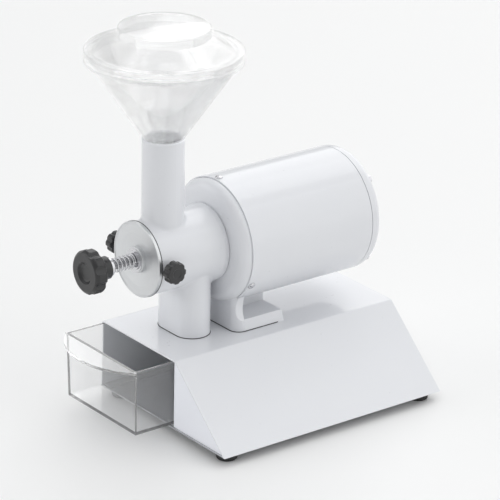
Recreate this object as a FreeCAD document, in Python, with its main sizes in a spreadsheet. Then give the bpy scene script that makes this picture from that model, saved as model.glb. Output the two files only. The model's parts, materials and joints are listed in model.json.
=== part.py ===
import FreeCAD, Part
import math
import os
import re

import Sketcher

# Electric coffee grinder: a burr head bolted to a motor, both standing on a folded sheet base
# with a clear drawer. Millimetres, +Z up, the drawer and the adjusting knob at the -Y end,
# the sloped side of the base at +X.

doc = FreeCAD.newDocument("coffee_grinder")
sheet = doc.addObject("Spreadsheet::Sheet", "Dims")

DIMENSIONS = {
    # base
    "base_length": 300,
    "top_width": 136,
    "skirt_spread": 90,
    "base_top": 90,
    "foot_height": 10,
    "foot_radius": 12.5,
    "foot_inset": 17,
    "foot_screw_radius": 2,
    "gauge": 1.5,
    "bend_radius": 3,
    "panel_recess": 1.5,
    # drawer
    "drawer_length": 150,
    "drawer_stop_gap": 6,
    "drawer_rear_cut": 7,
    "drawer_wall": 2.5,
    "drawer_floor": 3,
    "drawer_draft": 1.2,
    "drawer_side_gap": 1,
    "drawer_head_gap": 0.7,
    "drawer_opening": 49,
    "lip_depth": 28,
    "lip_thickness": 3,
    "lip_overhang": 1.2,
    "runner_height": 1.8,
    "runner_width": 14,
    "slide_gap": 0.3,
    # grinder casting, along the shaft axis
    "axis_height": 185.5,
    "chamber_front": 2,
    "chamber_wall": 5,
    "collar_step": 2.6,
    "collar_length": 6,
    "flare_length": 16,
    "head_rear": 90,
    "cap_seat_depth": 13,
    "barrel_radius": 20,
    "burr_seat_depth": 40,
    "seam_width": 0.8,
    "seam_depth": 1.2,
    "head_bolt_radius": 2,
    # feed tube
    "tube_centre": 31.5,
    "tube_radius": 23.3,
    "tube_top": 318,
    "tube_bore": 17,
    "mouth_radius": 18.8,
    "mouth_depth": 32,
    "tube_fillet": 5,
    # outlet chute
    "chute_setback": 11.9,
    "chute_half_width": 34,
    "chute_half_depth": 20.4,
    "chute_wall": 4,
    "chute_fillet": 6,
    "chute_seam": 0.4,
    # front cap and adjuster
    "cap_overlap": 1,
    "cap_flange": 4,
    "cap_bead": 2.2,
    "cap_ring_width": 10,
    "cap_dish_depth": 2.2,
    "gasket_thickness": 1,
    "gasket_inset": 0.8,
    "spigot_wall": 6,
    "cap_boss_radius": 14.5,
    "cap_boss_reach": 4,
    "washer_radius": 13.4,
    "washer_thickness": 1.5,
    "washer_step_radius": 10.6,
    "washer_step": 1.6,
    "screw_radius": 5,
    "screw_tip": 15,
    "run_gap": 0.05,
    "spring_radius": 8.2,
    "spring_wire": 1.1,
    "spring_turns": 5,
    "seat_radius": 10.5,
    "seat_thickness": 1.2,
    "knob_hub_end": 42,
    "knob_hub_radius": 12.6,
    "knob_hub_length": 14,
    "knob_head_length": 15,
    "knob_radius": 24.6,
    "knob_bevel": 4,
    "knob_dish_radius": 12.4,
    "knob_dish_depth": 3.5,
    "knob_lobes": 8,
    "knob_flute_radius": 6.5,
    "knob_flute_depth": 2.6,
    "knob_edge": 1.2,
    # clamp knobs on both sides of the chamber
    "clamp_centre": 9,
    "clamp_stand_off": 5.6,
    "clamp_radius": 12.4,
    "clamp_head": 11.5,
    "clamp_hub_radius": 6.5,
    "clamp_hub_length": 1.5,
    "clamp_stud_radius": 4,
    "clamp_flute_radius": 3.2,
    "clamp_flute_depth": 1.7,
    "clamp_dot_radius": 5,
    "clamp_edge": 0.7,
    "pad_thickness": 1.6,
    # burrs and auger
    "burr_radius": 33,
    "burr_clearance": 3,
    "fixed_burr_thickness": 7.5,
    "rotating_burr_thickness": 8,
    "grinding_gap": 1.3,
    "burr_grooves": 16,
    "burr_groove_depth": 1.6,
    "burr_screw_inset": 5,
    "auger_core_radius": 10,
    "auger_flight_gap": 0.5,
    "auger_pitch": 20,
    "flight_thickness": 2.6,
    "auger_hub_radius": 13,
    "auger_hub_reach": 22,
    "pad_disc_radius": 7,
    "pad_disc_thickness": 3,
    "key_width": 4,
    "key_height": 3,
    "key_length": 14,
    # hopper and lid
    "hopper_rim_radius": 85.5,
    "hopper_flange": 4,
    "hopper_throat_radius": 22.5,
    "hopper_cone_height": 86.5,
    "hopper_rim_height": 6.2,
    "hopper_wall": 2,
    "spout_length": 24,
    "spout_gap": 0.3,
    "lid_brim_height": 6.3,
    "lid_brim_width": 13.5,
    "lid_ring_inset": 7,
    "lid_ring_depth": 6,
    "lid_cup_radius": 49.7,
    "lid_cup_step": 14,
    "lid_cup_height": 11,
    "lid_wall": 2,
    # motor and its bracket
    "motor_radius": 70.4,
    "shell_gauge": 1.4,
    "shell_length": 165.5,
    "disc_rounding": 11,
    "disc_inset": 1.7,
    "shell_gap": 0.5,
    "spigot_reach": 10.5,
    "cavity_wall": 10.4,
    "cavity_setback": 14,
    "wall_setback": 8,
    "wall_thickness": 12,
    "neck_half_width": 42,
    "neck_height": 25.5,
    "foot_plate_thickness": 11.5,
    "foot_plate_length": 66,
    "foot_top_half_width": 41.5,
    "foot_bottom_half_width": 47,
    "foot_corner": 12,
    "bracket_bolt_radius": 3,
    "bracket_bolt_spread": 26,
    "bracket_bolt_inset": 12,
    "bracket_bolt_pitch": 30,
    "bracket_bolt_head": 4,
    "rear_cap_length": 14,
    "rear_cap_rounding": 8,
    "bearing_outer": 17.5,
    "bearing_inner": 7.5,
    "bearing_width": 11,
    "bearing_setback": 2,
    "shaft_step": 0.5,
    "shaft_reach": 3,
    "shaft_rear_reach": 9,
    "stator_setback": 44.5,
    "stator_length": 68,
    "stator_bore": 36,
    "air_gap": 0.6,
    "winding_reach": 18,
    "tie_inset": 5.9,
    "tie_radius": 2.5,
    "fan_radius": 50,
    "fan_setback": 29,
    "fan_width": 12,
    "fan_blades": 9,
    # electrical pieces
    "lead_radius": 3.5,
    "lead_setback": 6,
    "terminal_gap": 34,
    "terminal_length": 22,
    "capacitor_radius": 18,
    "capacitor_length": 75,
    "capacitor_x": 92,
    "gland_reach": 12,
    "gland_bore": 4,
    "gland_across": 15,
    "gland_x": 78,
    "gland_z": 34,
    "switch_x": 14,
    "switch_z": 50,
    "switch_width": 27.5,
    "switch_height": 21,
}

# places and sizes that follow from the ones above
FOLLOWING = {
    "bay_depth": "drawer_length + drawer_stop_gap",
    "bore_radius": "burr_radius + burr_clearance",
    "chamber_radius": "bore_radius + chamber_wall",
    "collar_radius": "chamber_radius + collar_step",
    "collar_start": "head_rear - collar_length",
    "burr_seat": "head_rear - burr_seat_depth",
    "burr_screw_circle": "burr_radius - burr_screw_inset",
    "auger_hub_end": "burr_seat + auger_hub_reach",
    "chute_centre": "burr_seat + chute_setback",
    "cap_radius": "chamber_radius + cap_overlap",
    "knob_face_radius": "knob_radius - knob_bevel",
    "hopper_cone_radius": "hopper_rim_radius - hopper_flange",
    "hopper_rim_base": "tube_top + hopper_cone_height",
    "hopper_rim_top": "hopper_rim_base + hopper_rim_height",
    "lid_brim_top": "hopper_rim_top + lid_brim_height",
    "lid_brim_inner": "hopper_rim_radius - lid_brim_width",
    "lid_ring_radius": "hopper_rim_radius - lid_ring_inset",
    "lid_cup_foot": "lid_brim_top + lid_cup_step",
    "lid_top": "lid_cup_foot + lid_cup_height",
    "disc_radius": "motor_radius - disc_inset",
    "cavity_radius": "motor_radius - cavity_wall",
    "tie_circle": "motor_radius - tie_inset",
    "shell_front": "head_rear + disc_rounding + shell_gap",
    "shell_rear": "shell_front + shell_length",
    "bracket_spigot_end": "shell_front + spigot_reach",
    "cavity_start": "head_rear + cavity_setback",
    "wall_front": "head_rear + wall_setback",
    "wall_rear": "wall_front + wall_thickness",
    "foot_plate_top": "base_top + foot_plate_thickness",
    "foot_plate_rear": "wall_front + foot_plate_length",
    "rear_cap_end": "shell_rear + rear_cap_length",
    "front_bearing_start": "head_rear + bearing_setback",
    "shaft_front": "burr_seat - shaft_reach",
    "shaft_rear": "shell_rear + shaft_rear_reach",
    "stator_start": "shell_front + stator_setback",
    "fan_start": "shell_rear - fan_setback",
    "lead_y": "foot_plate_rear - lead_setback",
    "terminal_start": "foot_plate_rear + terminal_gap",
}
CELLS = {**DIMENSIONS, **{alias: f"={formula}" for alias, formula in FOLLOWING.items()}}

for row, (alias, value) in enumerate(CELLS.items(), start=1):
    sheet.set(f"A{row}", alias)
    sheet.set(f"B{row}", str(value))
    sheet.setAlias(f"B{row}", alias)
doc.recompute()

# The origin is the middle of the machine's box at the floor. The box runs from the hopper's
# rim to the foot of the slope, and from the drawer's lip to the cord gland.
ORIGIN_X = "((top_width / 2 + skirt_spread - hopper_rim_radius) / 2)"
ORIGIN_Y = "((base_length - panel_recess + gland_reach - drawer_opening - lip_depth) / 2)"

NAME = re.compile(r"[a-z][a-z_]*")
PLANES = {"XY": ("XY_Plane", 1), "XZ": ("XZ_Plane", -1), "YZ": ("YZ_Plane", 1)}
parts = {}


def bound(text):
    # the cells' names as an expression needs them
    return NAME.sub(lambda word: "Dims." * (word.group() in CELLS) + word.group(), str(text))


def number(text):
    return float(sheet.evalExpression(bound(text)))


def place(piece, x="0", y="0", z="0", turn=None):
    # x, y and z are measured from the shaft axis's plane, the base's front face and the floor
    if turn:
        piece.Placement = FreeCAD.Placement(FreeCAD.Vector(), FreeCAD.Rotation(*turn))
    piece.setExpression("Placement.Base.x", bound(f"{x} - {ORIGIN_X}"))
    piece.setExpression("Placement.Base.y", bound(f"{y} - {ORIGIN_Y}"))
    piece.setExpression("Placement.Base.z", bound(z))


def keep(name, piece):
    piece.Label = name
    parts[name] = piece
    return piece


def new_body(name, x="0", y="0", z="0", turn=None):
    body = doc.addObject("PartDesign::Body", name)
    place(body, x, y, z, turn)
    return keep(name, body)


def new_sketch(body, plane, offset="0"):
    role, sign = PLANES[plane]
    sketch = body.newObject("Sketcher::SketchObject", f"{body.Name}_{plane}")
    support = next(item for item in body.Origin.OriginFeatures if item.Role == role)
    sketch.AttachmentSupport = [(support, "")]
    sketch.MapMode = "FlatFace"
    sketch.setExpression("AttachmentOffset.Base.z", bound(f"{sign} * ({offset})"))
    return sketch


def tie(sketch, sizes):
    # the dimensions of a sketch, each bound to the sheet
    rules = [Sketcher.Constraint(kind, *spots, number(text)) for kind, spots, text in sizes]
    for index, (kind, spots, text) in zip(sketch.addConstraint(rules), sizes):
        sketch.setExpression(f"Constraints[{index}]", bound(text))


def outline(sketch, points):
    # A closed outline. A point with a third value is reached by an arc of that radius, which
    # turns left if the value is positive and right if it is negative.
    spots = [FreeCAD.Vector(number(point[0]), number(point[1]), 0) for point in points]
    first = sketch.GeometryCount
    count = len(spots)
    lines = []
    ends = []
    for index, begin in enumerate(spots):
        following = (index + 1) % count
        finish = spots[following]
        radius = number(points[following][2]) if len(points[following]) > 2 else 0
        if radius:
            across = finish - begin
            side = FreeCAD.Vector(-across.y, across.x, 0).normalize()
            rise = math.sqrt(max(radius ** 2 - (across.Length / 2) ** 2, 0))
            centre = begin + across * 0.5 + side * math.copysign(rise, radius)
            start, stop = (begin, finish) if radius > 0 else (finish, begin)
            angles = [math.atan2(spot.y - centre.y, spot.x - centre.x) for spot in (start, stop)]
            circle = Part.Circle(centre, FreeCAD.Vector(0, 0, 1), abs(radius))
            lines.append(Part.ArcOfCircle(circle, angles[0], angles[1]))
            ends.append((1, 2) if radius > 0 else (2, 1))
        else:
            lines.append(Part.LineSegment(begin, finish))
            ends.append((1, 2))
    sketch.addGeometry(lines)
    joints = []
    sizes = []
    for index, point in enumerate(points):
        geometry = first + index
        following = (index + 1) % count
        joint = (geometry, ends[index][1], first + following, ends[following][0])
        joints.append(Sketcher.Constraint("Coincident", *joint))
        sizes.append(("DistanceX", (-1, 1, geometry, ends[index][0]), point[0]))
        sizes.append(("DistanceY", (-1, 1, geometry, ends[index][0]), point[1]))
        if len(points[following]) > 2:
            radius_text = points[following][2]
            size = radius_text if number(radius_text) > 0 else f"0 - ({radius_text})"
            sizes.append(("Radius", (geometry,), size))
    sketch.addConstraint(joints)
    tie(sketch, sizes)


def disc(sketch, x, y, radius):
    centre = FreeCAD.Vector(number(x), number(y), 0)
    index = sketch.addGeometry(Part.Circle(centre, FreeCAD.Vector(0, 0, 1), number(radius)))
    tie(sketch, [
        ("DistanceX", (-1, 1, index, 3), x),
        ("DistanceY", (-1, 1, index, 3), y),
        ("Radius", (index,), radius),
    ])


def rectangle(sketch, left, bottom, right, top):
    outline(sketch, [(left, bottom), (right, bottom), (right, top), (left, top)])


def obround(sketch, x, y, half_width, half_depth):
    # a slot along X with full round ends
    half_width = f"({half_width})"
    half_depth = f"({half_depth})"
    flat = f"({half_width} - {half_depth})"
    outline(sketch, [
        (f"{x} - {flat}", f"{y} - {half_depth}", half_depth),
        (f"{x} + {flat}", f"{y} - {half_depth}"),
        (f"{x} + {half_width}", y, half_depth),
        (f"{x} + {flat}", f"{y} + {half_depth}", half_depth),
        (f"{x} - {flat}", f"{y} + {half_depth}"),
        (f"{x} - {half_width}", y, half_depth),
    ])


def extrude(body, kind, sketch, length, back=False):
    # kind is Pad or Pocket, and both run towards the positive axis unless back is set
    feature = body.newObject(f"PartDesign::{kind}", f"{body.Name}_{kind.lower()}")
    feature.Profile = sketch
    feature.setExpression("Length", bound(length))
    down = sketch.AttachmentSupport[0][0].Role == "XZ_Plane"
    feature.Reversed = (down == (kind == "Pad")) != back
    doc.recompute()
    return feature


def turned(body, kind, sketch, axis="H_Axis"):
    # kind is Revolution or Groove, all the way round
    feature = body.newObject(f"PartDesign::{kind}", f"{body.Name}_{kind.lower()}")
    feature.Profile = sketch
    feature.ReferenceAxis = (sketch, [axis])
    feature.Angle = 360
    doc.recompute()
    return feature


def around(body, feature, axis, count):
    # count copies of a feature about one of the body's axes
    pattern = body.newObject("PartDesign::PolarPattern", f"{body.Name}_ring")
    pattern.Originals = [feature]
    line = next(item for item in body.Origin.OriginFeatures if item.Role == f"{axis}_Axis")
    pattern.Axis = (line, [""])
    pattern.Angle = 360
    pattern.setExpression("Occurrences", bound(count))
    body.Tip = pattern
    doc.recompute()
    return pattern


def soften(body, kind, size, test):
    # Fillet or Chamfer on the edges that pass the test
    base = body.Tip
    edges = [f"Edge{n}" for n, edge in enumerate(base.Shape.Edges, start=1) if test(edge)]
    feature = body.newObject(f"PartDesign::{kind}", f"{body.Name}_{kind.lower()}")
    feature.Base = (base, edges)
    feature.setExpression("Radius" if kind == "Fillet" else "Size", bound(size))
    doc.recompute()
    return feature


def near(value, text):
    return abs(value - number(text)) < 0.01


def lobe_edge(edge, axis, length):
    # a straight edge along an axis, at least as long as asked
    if not isinstance(edge.Curve, Part.Line) or edge.Length < number(length):
        return False
    return abs(getattr(edge.Curve.Direction, axis)) > 0.99


def flat_circle(edge, axis, level, radius):
    # a round edge square to an axis, at a level on it
    if not isinstance(edge.Curve, Part.Circle) or not near(edge.Curve.Radius, radius):
        return False
    return near(getattr(edge.Curve.Center, axis), level)


def cylinder(name, radius, length, x="0", y="0", z="0", turn=(0, 0, 0)):
    # turn holds the yaw, pitch and roll that lay the cylinder's axis down
    piece = doc.addObject("Part::Cylinder", name)
    piece.setExpression("Radius", bound(radius))
    piece.setExpression("Height", bound(length))
    piece.Placement = FreeCAD.Placement(FreeCAD.Vector(), FreeCAD.Rotation(*turn))
    for letter, text in (("x", x), ("y", y), ("z", z)):
        piece.setExpression(f"Placement.Base.{letter}", bound(text))
    return piece


def box(name, width, depth, height, x="0", y="0", z="0"):
    piece = doc.addObject("Part::Box", name)
    for side, text in (("Length", width), ("Width", depth), ("Height", height)):
        piece.setExpression(side, bound(text))
    for letter, text in (("x", x), ("y", y), ("z", z)):
        piece.setExpression(f"Placement.Base.{letter}", bound(text))
    return piece


def joined(kind, name, pieces):
    # kind is MultiFuse, Compound or Cut
    result = doc.addObject(f"Part::{kind}", name)
    if kind == "Cut":
        result.Base, result.Tool = pieces
    elif kind == "Compound":
        result.Links = pieces
    else:
        result.Shapes = pieces
    return result


ALONG_Y = (0, 0, -90)

# Base: where the sloped sheet's inner face runs
SLOPE = "(skirt_spread / (base_top - foot_height))"
SLANT = f"sqrt(1 + {SLOPE}^2)"
PLATE_TOP = "(foot_height + gauge)"
SHEET_UNDER = "(base_top - gauge)"
LEFT_INNER = "(gauge - top_width / 2)"
PANEL_TOP = f"({SHEET_UNDER} - 2 * slide_gap)"


def slope_inner(height):
    return f"(top_width / 2 + (base_top - {height}) * {SLOPE} - gauge * {SLANT})"


BOLT_ROWS = ("foot_plate_rear - bracket_bolt_inset - bracket_bolt_pitch",
             "foot_plate_rear - bracket_bolt_inset")
GROMMET_RADIUS = "(lead_radius + 3)"


def make_base_cover():
    body = new_body("base_cover")
    sketch = new_sketch(body, "XZ")
    outline(sketch, [
        ("0 - top_width / 2", "foot_height"),
        ("0 - top_width / 2", "base_top"),
        ("top_width / 2", "base_top"),
        ("top_width / 2 + skirt_spread", "foot_height"),
        (slope_inner("foot_height"), "foot_height"),
        (slope_inner(SHEET_UNDER), SHEET_UNDER),
        (LEFT_INNER, SHEET_UNDER),
        (LEFT_INNER, "foot_height"),
    ])
    extrude(body, "Pad", sketch, "base_length")

    def bend(edge, level, *columns):
        middle = edge.CenterOfMass
        long = near(edge.Length, "base_length") and near(middle.z, level)
        return long and any(near(middle.x, column) for column in columns)

    outer = ("top_width / 2", "0 - top_width / 2")
    inner = (slope_inner(SHEET_UNDER), LEFT_INNER)
    soften(body, "Fillet", "bend_radius", lambda edge: bend(edge, "base_top", *outer))
    soften(body, "Fillet", "bend_radius - gauge", lambda edge: bend(edge, SHEET_UNDER, *inner))
    sketch = new_sketch(body, "XY", f"{SHEET_UNDER} - gauge")
    obround(sketch, "0", "chute_centre", "chute_half_width + chute_seam", "chute_half_depth + chute_seam")
    for row in BOLT_ROWS:
        disc(sketch, "bracket_bolt_spread", row, "bracket_bolt_radius")
        disc(sketch, "0 - bracket_bolt_spread", row, "bracket_bolt_radius")
    disc(sketch, "0", "lead_y", GROMMET_RADIUS)
    extrude(body, "Pocket", sketch, "3 * gauge")


FEET = {
    "front_left": ("foot_inset - top_width / 2", "foot_inset"),
    "front_right": ("top_width / 2 + skirt_spread - foot_inset - gauge", "foot_inset"),
    "rear_left": ("foot_inset - top_width / 2", "base_length - foot_inset"),
    "rear_right": ("top_width / 2 + skirt_spread - foot_inset - gauge", "base_length - foot_inset"),
}


def make_bottom_plate():
    body = new_body("bottom_plate")
    sketch = new_sketch(body, "XZ")
    outline(sketch, [
        (LEFT_INNER, "foot_height"),
        (slope_inner("foot_height"), "foot_height"),
        (slope_inner(PLATE_TOP), PLATE_TOP),
        (LEFT_INNER, PLATE_TOP),
    ])
    extrude(body, "Pad", sketch, "base_length")
    sketch = new_sketch(body, "XY", "foot_height - gauge")
    for x, y in FEET.values():
        disc(sketch, x, y, "foot_screw_radius")
    extrude(body, "Pocket", sketch, "3 * gauge")


def make_bay_panel():
    # one sheet folded into the drawer bay's right wall and the sloped side's front closure
    body = new_body("drawer_bay_panel")
    sketch = new_sketch(body, "XY", PLATE_TOP)
    left = "top_width / 2 - 2 * gauge"
    outline(sketch, [
        (left, "panel_recess"),
        ("top_width / 2 + skirt_spread", "panel_recess"),
        ("top_width / 2 + skirt_spread", "panel_recess + gauge"),
        ("top_width / 2 - gauge", "panel_recess + gauge"),
        ("top_width / 2 - gauge", "bay_depth"),
        (left, "bay_depth"),
    ])
    extrude(body, "Pad", sketch, f"{PANEL_TOP} - {PLATE_TOP}")
    sketch = new_sketch(body, "XZ")
    outline(sketch, [
        (slope_inner(PANEL_TOP), PANEL_TOP),
        (slope_inner(PLATE_TOP), PLATE_TOP),
        ("top_width / 2 + skirt_spread + gauge", PLATE_TOP),
        ("top_width / 2 + skirt_spread + gauge", PANEL_TOP),
    ])
    extrude(body, "Pocket", sketch, "bay_depth")


def make_rear_panel():
    body = new_body("rear_panel")
    sketch = new_sketch(body, "XZ", "base_length - panel_recess - gauge")
    outline(sketch, [
        (LEFT_INNER, PLATE_TOP),
        (slope_inner(PLATE_TOP), PLATE_TOP),
        (slope_inner(PANEL_TOP), PANEL_TOP),
        (f"{LEFT_INNER} + bend_radius", PANEL_TOP),
        (LEFT_INNER, f"{PANEL_TOP} - bend_radius"),
    ])
    disc(sketch, "gland_x", "gland_z", "gland_across / 2")
    half_width = "switch_width / 2 - 1"
    half_height = "switch_height / 2 - 1"
    rectangle(sketch, f"switch_x - ({half_width})", f"switch_z - ({half_height})",
              f"switch_x + ({half_width})", f"switch_z + ({half_height})")
    extrude(body, "Pad", sketch, "gauge")


def make_feet():
    for side, (x, y) in FEET.items():
        body = new_body(f"foot_{side}", x, y, "foot_height")
        sketch = new_sketch(body, "XZ")
        outline(sketch, [
            ("foot_screw_radius", "0"),
            ("foot_screw_radius", "5 - foot_height"),
            ("4.5", "5 - foot_height"),
            ("4.5", "0 - foot_height"),
            ("foot_radius - 3", "0 - foot_height"),
            ("foot_radius - 1", "2 - foot_height", "2"),
            ("foot_radius", "0"),
        ])
        turned(body, "Revolution", sketch, "V_Axis")
    screws = []
    for side, (x, y) in FEET.items():
        shank = cylinder(f"foot_shank_{side}", "foot_screw_radius", f"{PLATE_TOP} - 5", x, y, "5")
        head = cylinder(f"foot_head_{side}", "4", "2.4", x, y, "2.6")
        screws.append(joined("MultiFuse", f"foot_screw_{side}", [shank, head]))
    place(keep("foot_screws", joined("Compound", "foot_screws", screws)))


DRAWER_BASE = f"({PLATE_TOP} + runner_height + slide_gap)"
DRAWER_HEIGHT = f"({SHEET_UNDER} - drawer_head_gap - {DRAWER_BASE})"
DRAWER_HALF = "(top_width / 2 - 1.5 * gauge - drawer_side_gap)"
DRAFT = f"({DRAWER_HEIGHT} * tan(drawer_draft))"
LIP_HALF = "(top_width / 2 - lip_overhang)"


def drawer_loft(body, kind, inset, floor):
    # the moulding widens a little from its floor to its top
    sections = []
    for level, draft in ((floor, DRAFT), (DRAWER_HEIGHT, "0")):
        sketch = new_sketch(body, "XY", level)
        edge = f"({inset} + {draft})"
        rectangle(sketch, f"{edge} - {DRAWER_HALF}", edge, f"{DRAWER_HALF} - {edge}", f"drawer_length - {edge}")
        sections.append(sketch)
    loft = body.newObject(f"PartDesign::{kind}Loft", f"drawer_{kind.lower()}")
    loft.Profile = sections[0]
    loft.Sections = sections[1:]
    loft.Ruled = True
    doc.recompute()


def make_drawer():
    body = new_body("drawer", "0 - gauge / 2", "0 - drawer_opening", DRAWER_BASE)
    drawer_loft(body, "Additive", "0", "0")
    drawer_loft(body, "Subtractive", "drawer_wall", "drawer_floor")
    sketch = new_sketch(body, "XY", f"{DRAWER_HEIGHT} - lip_thickness")
    root = f"({DRAWER_HALF} - drawer_wall)"
    outline(sketch, [
        (f"0 - {LIP_HALF}", "0"),
        (LIP_HALF, "0", f"({LIP_HALF}^2 + lip_depth^2) / (2 * lip_depth)"),
        (root, "0"),
        (root, "drawer_wall"),
        (f"0 - {root}", "drawer_wall"),
        (f"0 - {root}", "0"),
    ])
    extrude(body, "Pad", sketch, "lip_thickness")
    # the rear wall is lower, to pass under the heads of the bracket's bolts
    sketch = new_sketch(body, "XY", f"{DRAWER_HEIGHT} - drawer_rear_cut")
    cut = f"({DRAWER_HALF} - 12)"
    rectangle(sketch, f"0 - {cut}", "drawer_length - 3 * drawer_wall", cut, "drawer_length + 1")
    extrude(body, "Pocket", sketch, "drawer_rear_cut + 1")


def make_runners():
    # strips that the drawer slides on, turned up behind it as a stop
    for side, left in (("left", LEFT_INNER), ("right", "top_width / 2 - 2 * gauge - runner_width")):
        body = new_body(f"drawer_runner_{side}", left, "0", PLATE_TOP)
        sketch = new_sketch(body, "YZ")
        outline(sketch, [
            ("2 * gauge", "0"),
            ("bay_depth", "0"),
            ("bay_depth", "12"),
            ("bay_depth - runner_height", "12"),
            ("bay_depth - runner_height", "runner_height"),
            ("2 * gauge", "runner_height"),
        ])
        extrude(body, "Pad", sketch, "runner_width")


CHUTE_DROP = "(axis_height - base_top + gauge)"
HEAD_BOLT_CIRCLE = "(chamber_radius - chamber_wall / 2 + 0.5)"


def make_grinder_body():
    body = new_body("grinder_body", z="axis_height")
    sketch = new_sketch(body, "YZ")
    rise = "(collar_radius - chamber_radius)"
    outline(sketch, [
        ("chamber_front", "0"),
        ("head_rear", "0"),
        ("head_rear", "collar_radius - seam_depth"),
        ("head_rear - seam_width", "collar_radius - seam_depth"),
        ("head_rear - seam_width", "collar_radius"),
        ("collar_start", "collar_radius"),
        ("collar_start - flare_length", "chamber_radius", f"0 - (flare_length^2 + {rise}^2) / (2 * {rise})"),
        ("chamber_front", "chamber_radius"),
    ])
    turned(body, "Revolution", sketch)
    sketch = new_sketch(body, "XY")
    disc(sketch, "0", "tube_centre", "tube_radius")
    extrude(body, "Pad", sketch, "tube_top - axis_height")
    sketch = new_sketch(body, "XY", f"0 - {CHUTE_DROP}")
    obround(sketch, "0", "chute_centre", "chute_half_width", "chute_half_depth")
    extrude(body, "Pad", sketch, CHUTE_DROP)

    def tube_root(edge):
        return edge.Curve.TypeId == "Part::GeomBSplineCurve" and edge.CenterOfMass.z > chamber / 2

    def chute_root(edge):
        middle = edge.CenterOfMass
        return 0 - chamber * 1.05 < middle.z < 0 - chamber * 0.6 and middle.y > chute_front

    chamber = number("chamber_radius")
    chute_front = number("chute_centre - chute_half_depth - chute_fillet")
    soften(body, "Fillet", "tube_fillet", tube_root)
    soften(body, "Fillet", "chute_fillet", chute_root)
    return body


def finish_grinder_body(body):
    sketch = new_sketch(body, "YZ")
    web = "(chamber_front + cap_seat_depth)"
    outline(sketch, [
        ("chamber_front - 1", "0"),
        ("head_rear + 1", "0"),
        ("head_rear + 1", "bore_radius"),
        ("burr_seat", "bore_radius"),
        ("burr_seat", "barrel_radius"),
        (web, "barrel_radius"),
        (web, "bore_radius"),
        ("chamber_front - 1", "bore_radius"),
    ])
    turned(body, "Groove", sketch)
    sketch = new_sketch(body, "XY")
    disc(sketch, "0", "tube_centre", "tube_bore")
    extrude(body, "Pocket", sketch, "tube_top - axis_height + 1")
    sketch = new_sketch(body, "XY", "tube_top - axis_height - mouth_depth")
    disc(sketch, "0", "tube_centre", "mouth_radius")
    extrude(body, "Pocket", sketch, "mouth_depth + 1")
    sketch = new_sketch(body, "XY", f"0 - {CHUTE_DROP} - 1")
    obround(sketch, "0", "chute_centre", "chute_half_width - chute_wall", "chute_half_depth - chute_wall")
    extrude(body, "Pocket", sketch, f"{CHUTE_DROP} + 1 - bore_radius / 2")
    sketch = new_sketch(body, "YZ", "0 - chamber_radius - 1")
    disc(sketch, "clamp_centre", "0", "clamp_stud_radius")
    extrude(body, "Pocket", sketch, "2 * chamber_radius + 2")
    sketch = new_sketch(body, "XZ", "head_rear - 12")
    disc(sketch, f"{HEAD_BOLT_CIRCLE} * cos(45)", f"{HEAD_BOLT_CIRCLE} * sin(45)", "head_bolt_radius")
    around(body, extrude(body, "Pocket", sketch, "13"), "Y", "4")
    sketch = new_sketch(body, "XZ", "burr_seat - 9")
    disc(sketch, "0", "burr_screw_circle", "2")
    around(body, extrude(body, "Pocket", sketch, "10"), "Y", "3")
    lip = "tube_top - axis_height"
    soften(body, "Chamfer", "1.2", lambda edge: flat_circle(edge, "z", lip, "tube_radius")
           or flat_circle(edge, "z", lip, "mouth_radius"))


CAP_BACK = "(chamber_front - gasket_thickness)"
CAP_FACE = f"({CAP_BACK} - cap_flange)"
BOSS_FACE = f"({CAP_FACE} + cap_dish_depth - cap_boss_reach)"
WASHER_FACE = f"({BOSS_FACE} - washer_thickness)"
WASHER_STEP = f"({WASHER_FACE} - washer_step)"
SPIGOT_RADIUS = "(bore_radius - 2 * run_gap)"
SPIGOT_END = "(chamber_front + cap_seat_depth - 1)"
SCREW_BORE = "(screw_radius + run_gap)"


def ring(name, start, end, inner, outer):
    # a plain ring on the shaft axis
    body = new_body(name, z="axis_height")
    sketch = new_sketch(body, "YZ")
    rectangle(sketch, start, inner, end, outer)
    turned(body, "Revolution", sketch)
    return body


def make_front_cap():
    ring("cap_gasket", CAP_BACK, "chamber_front", "bore_radius + 2 * slide_gap", "chamber_radius - gasket_inset")
    body = new_body("front_cap", z="axis_height")
    sketch = new_sketch(body, "YZ")
    ring_face = f"({CAP_FACE} + cap_bead / 4)"
    outline(sketch, [
        (BOSS_FACE, SCREW_BORE),
        (BOSS_FACE, "cap_boss_radius - 1"),
        (f"{BOSS_FACE} + 1", "cap_boss_radius", "0 - 1"),
        (f"{CAP_FACE} + cap_dish_depth", "cap_boss_radius"),
        (ring_face, "cap_radius - cap_bead - cap_ring_width"),
        (ring_face, "cap_radius - cap_bead"),
        (CAP_FACE, "cap_radius - cap_bead + 0.6"),
        (CAP_FACE, "cap_radius - 1"),
        (f"{CAP_FACE} + 1", "cap_radius", "0 - 1"),
        (CAP_BACK, "cap_radius"),
        (CAP_BACK, SPIGOT_RADIUS),
        (f"{SPIGOT_END} - 1", SPIGOT_RADIUS),
        (SPIGOT_END, f"{SPIGOT_RADIUS} - 1"),
        (SPIGOT_END, f"{SPIGOT_RADIUS} - spigot_wall"),
        (f"{CAP_BACK} + 4", f"{SPIGOT_RADIUS} - spigot_wall"),
        (f"{CAP_BACK} + 4", "2 * screw_radius + 1"),
        (f"{SPIGOT_END} - 2", "2 * screw_radius"),
        (f"{SPIGOT_END} - 2", SCREW_BORE),
    ])
    turned(body, "Revolution", sketch)


SEAT_FLOOR = "(seat_thickness - knob_hub_end)"
SPRING_COIL = "(2 * spring_wire + run_gap)"


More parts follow.
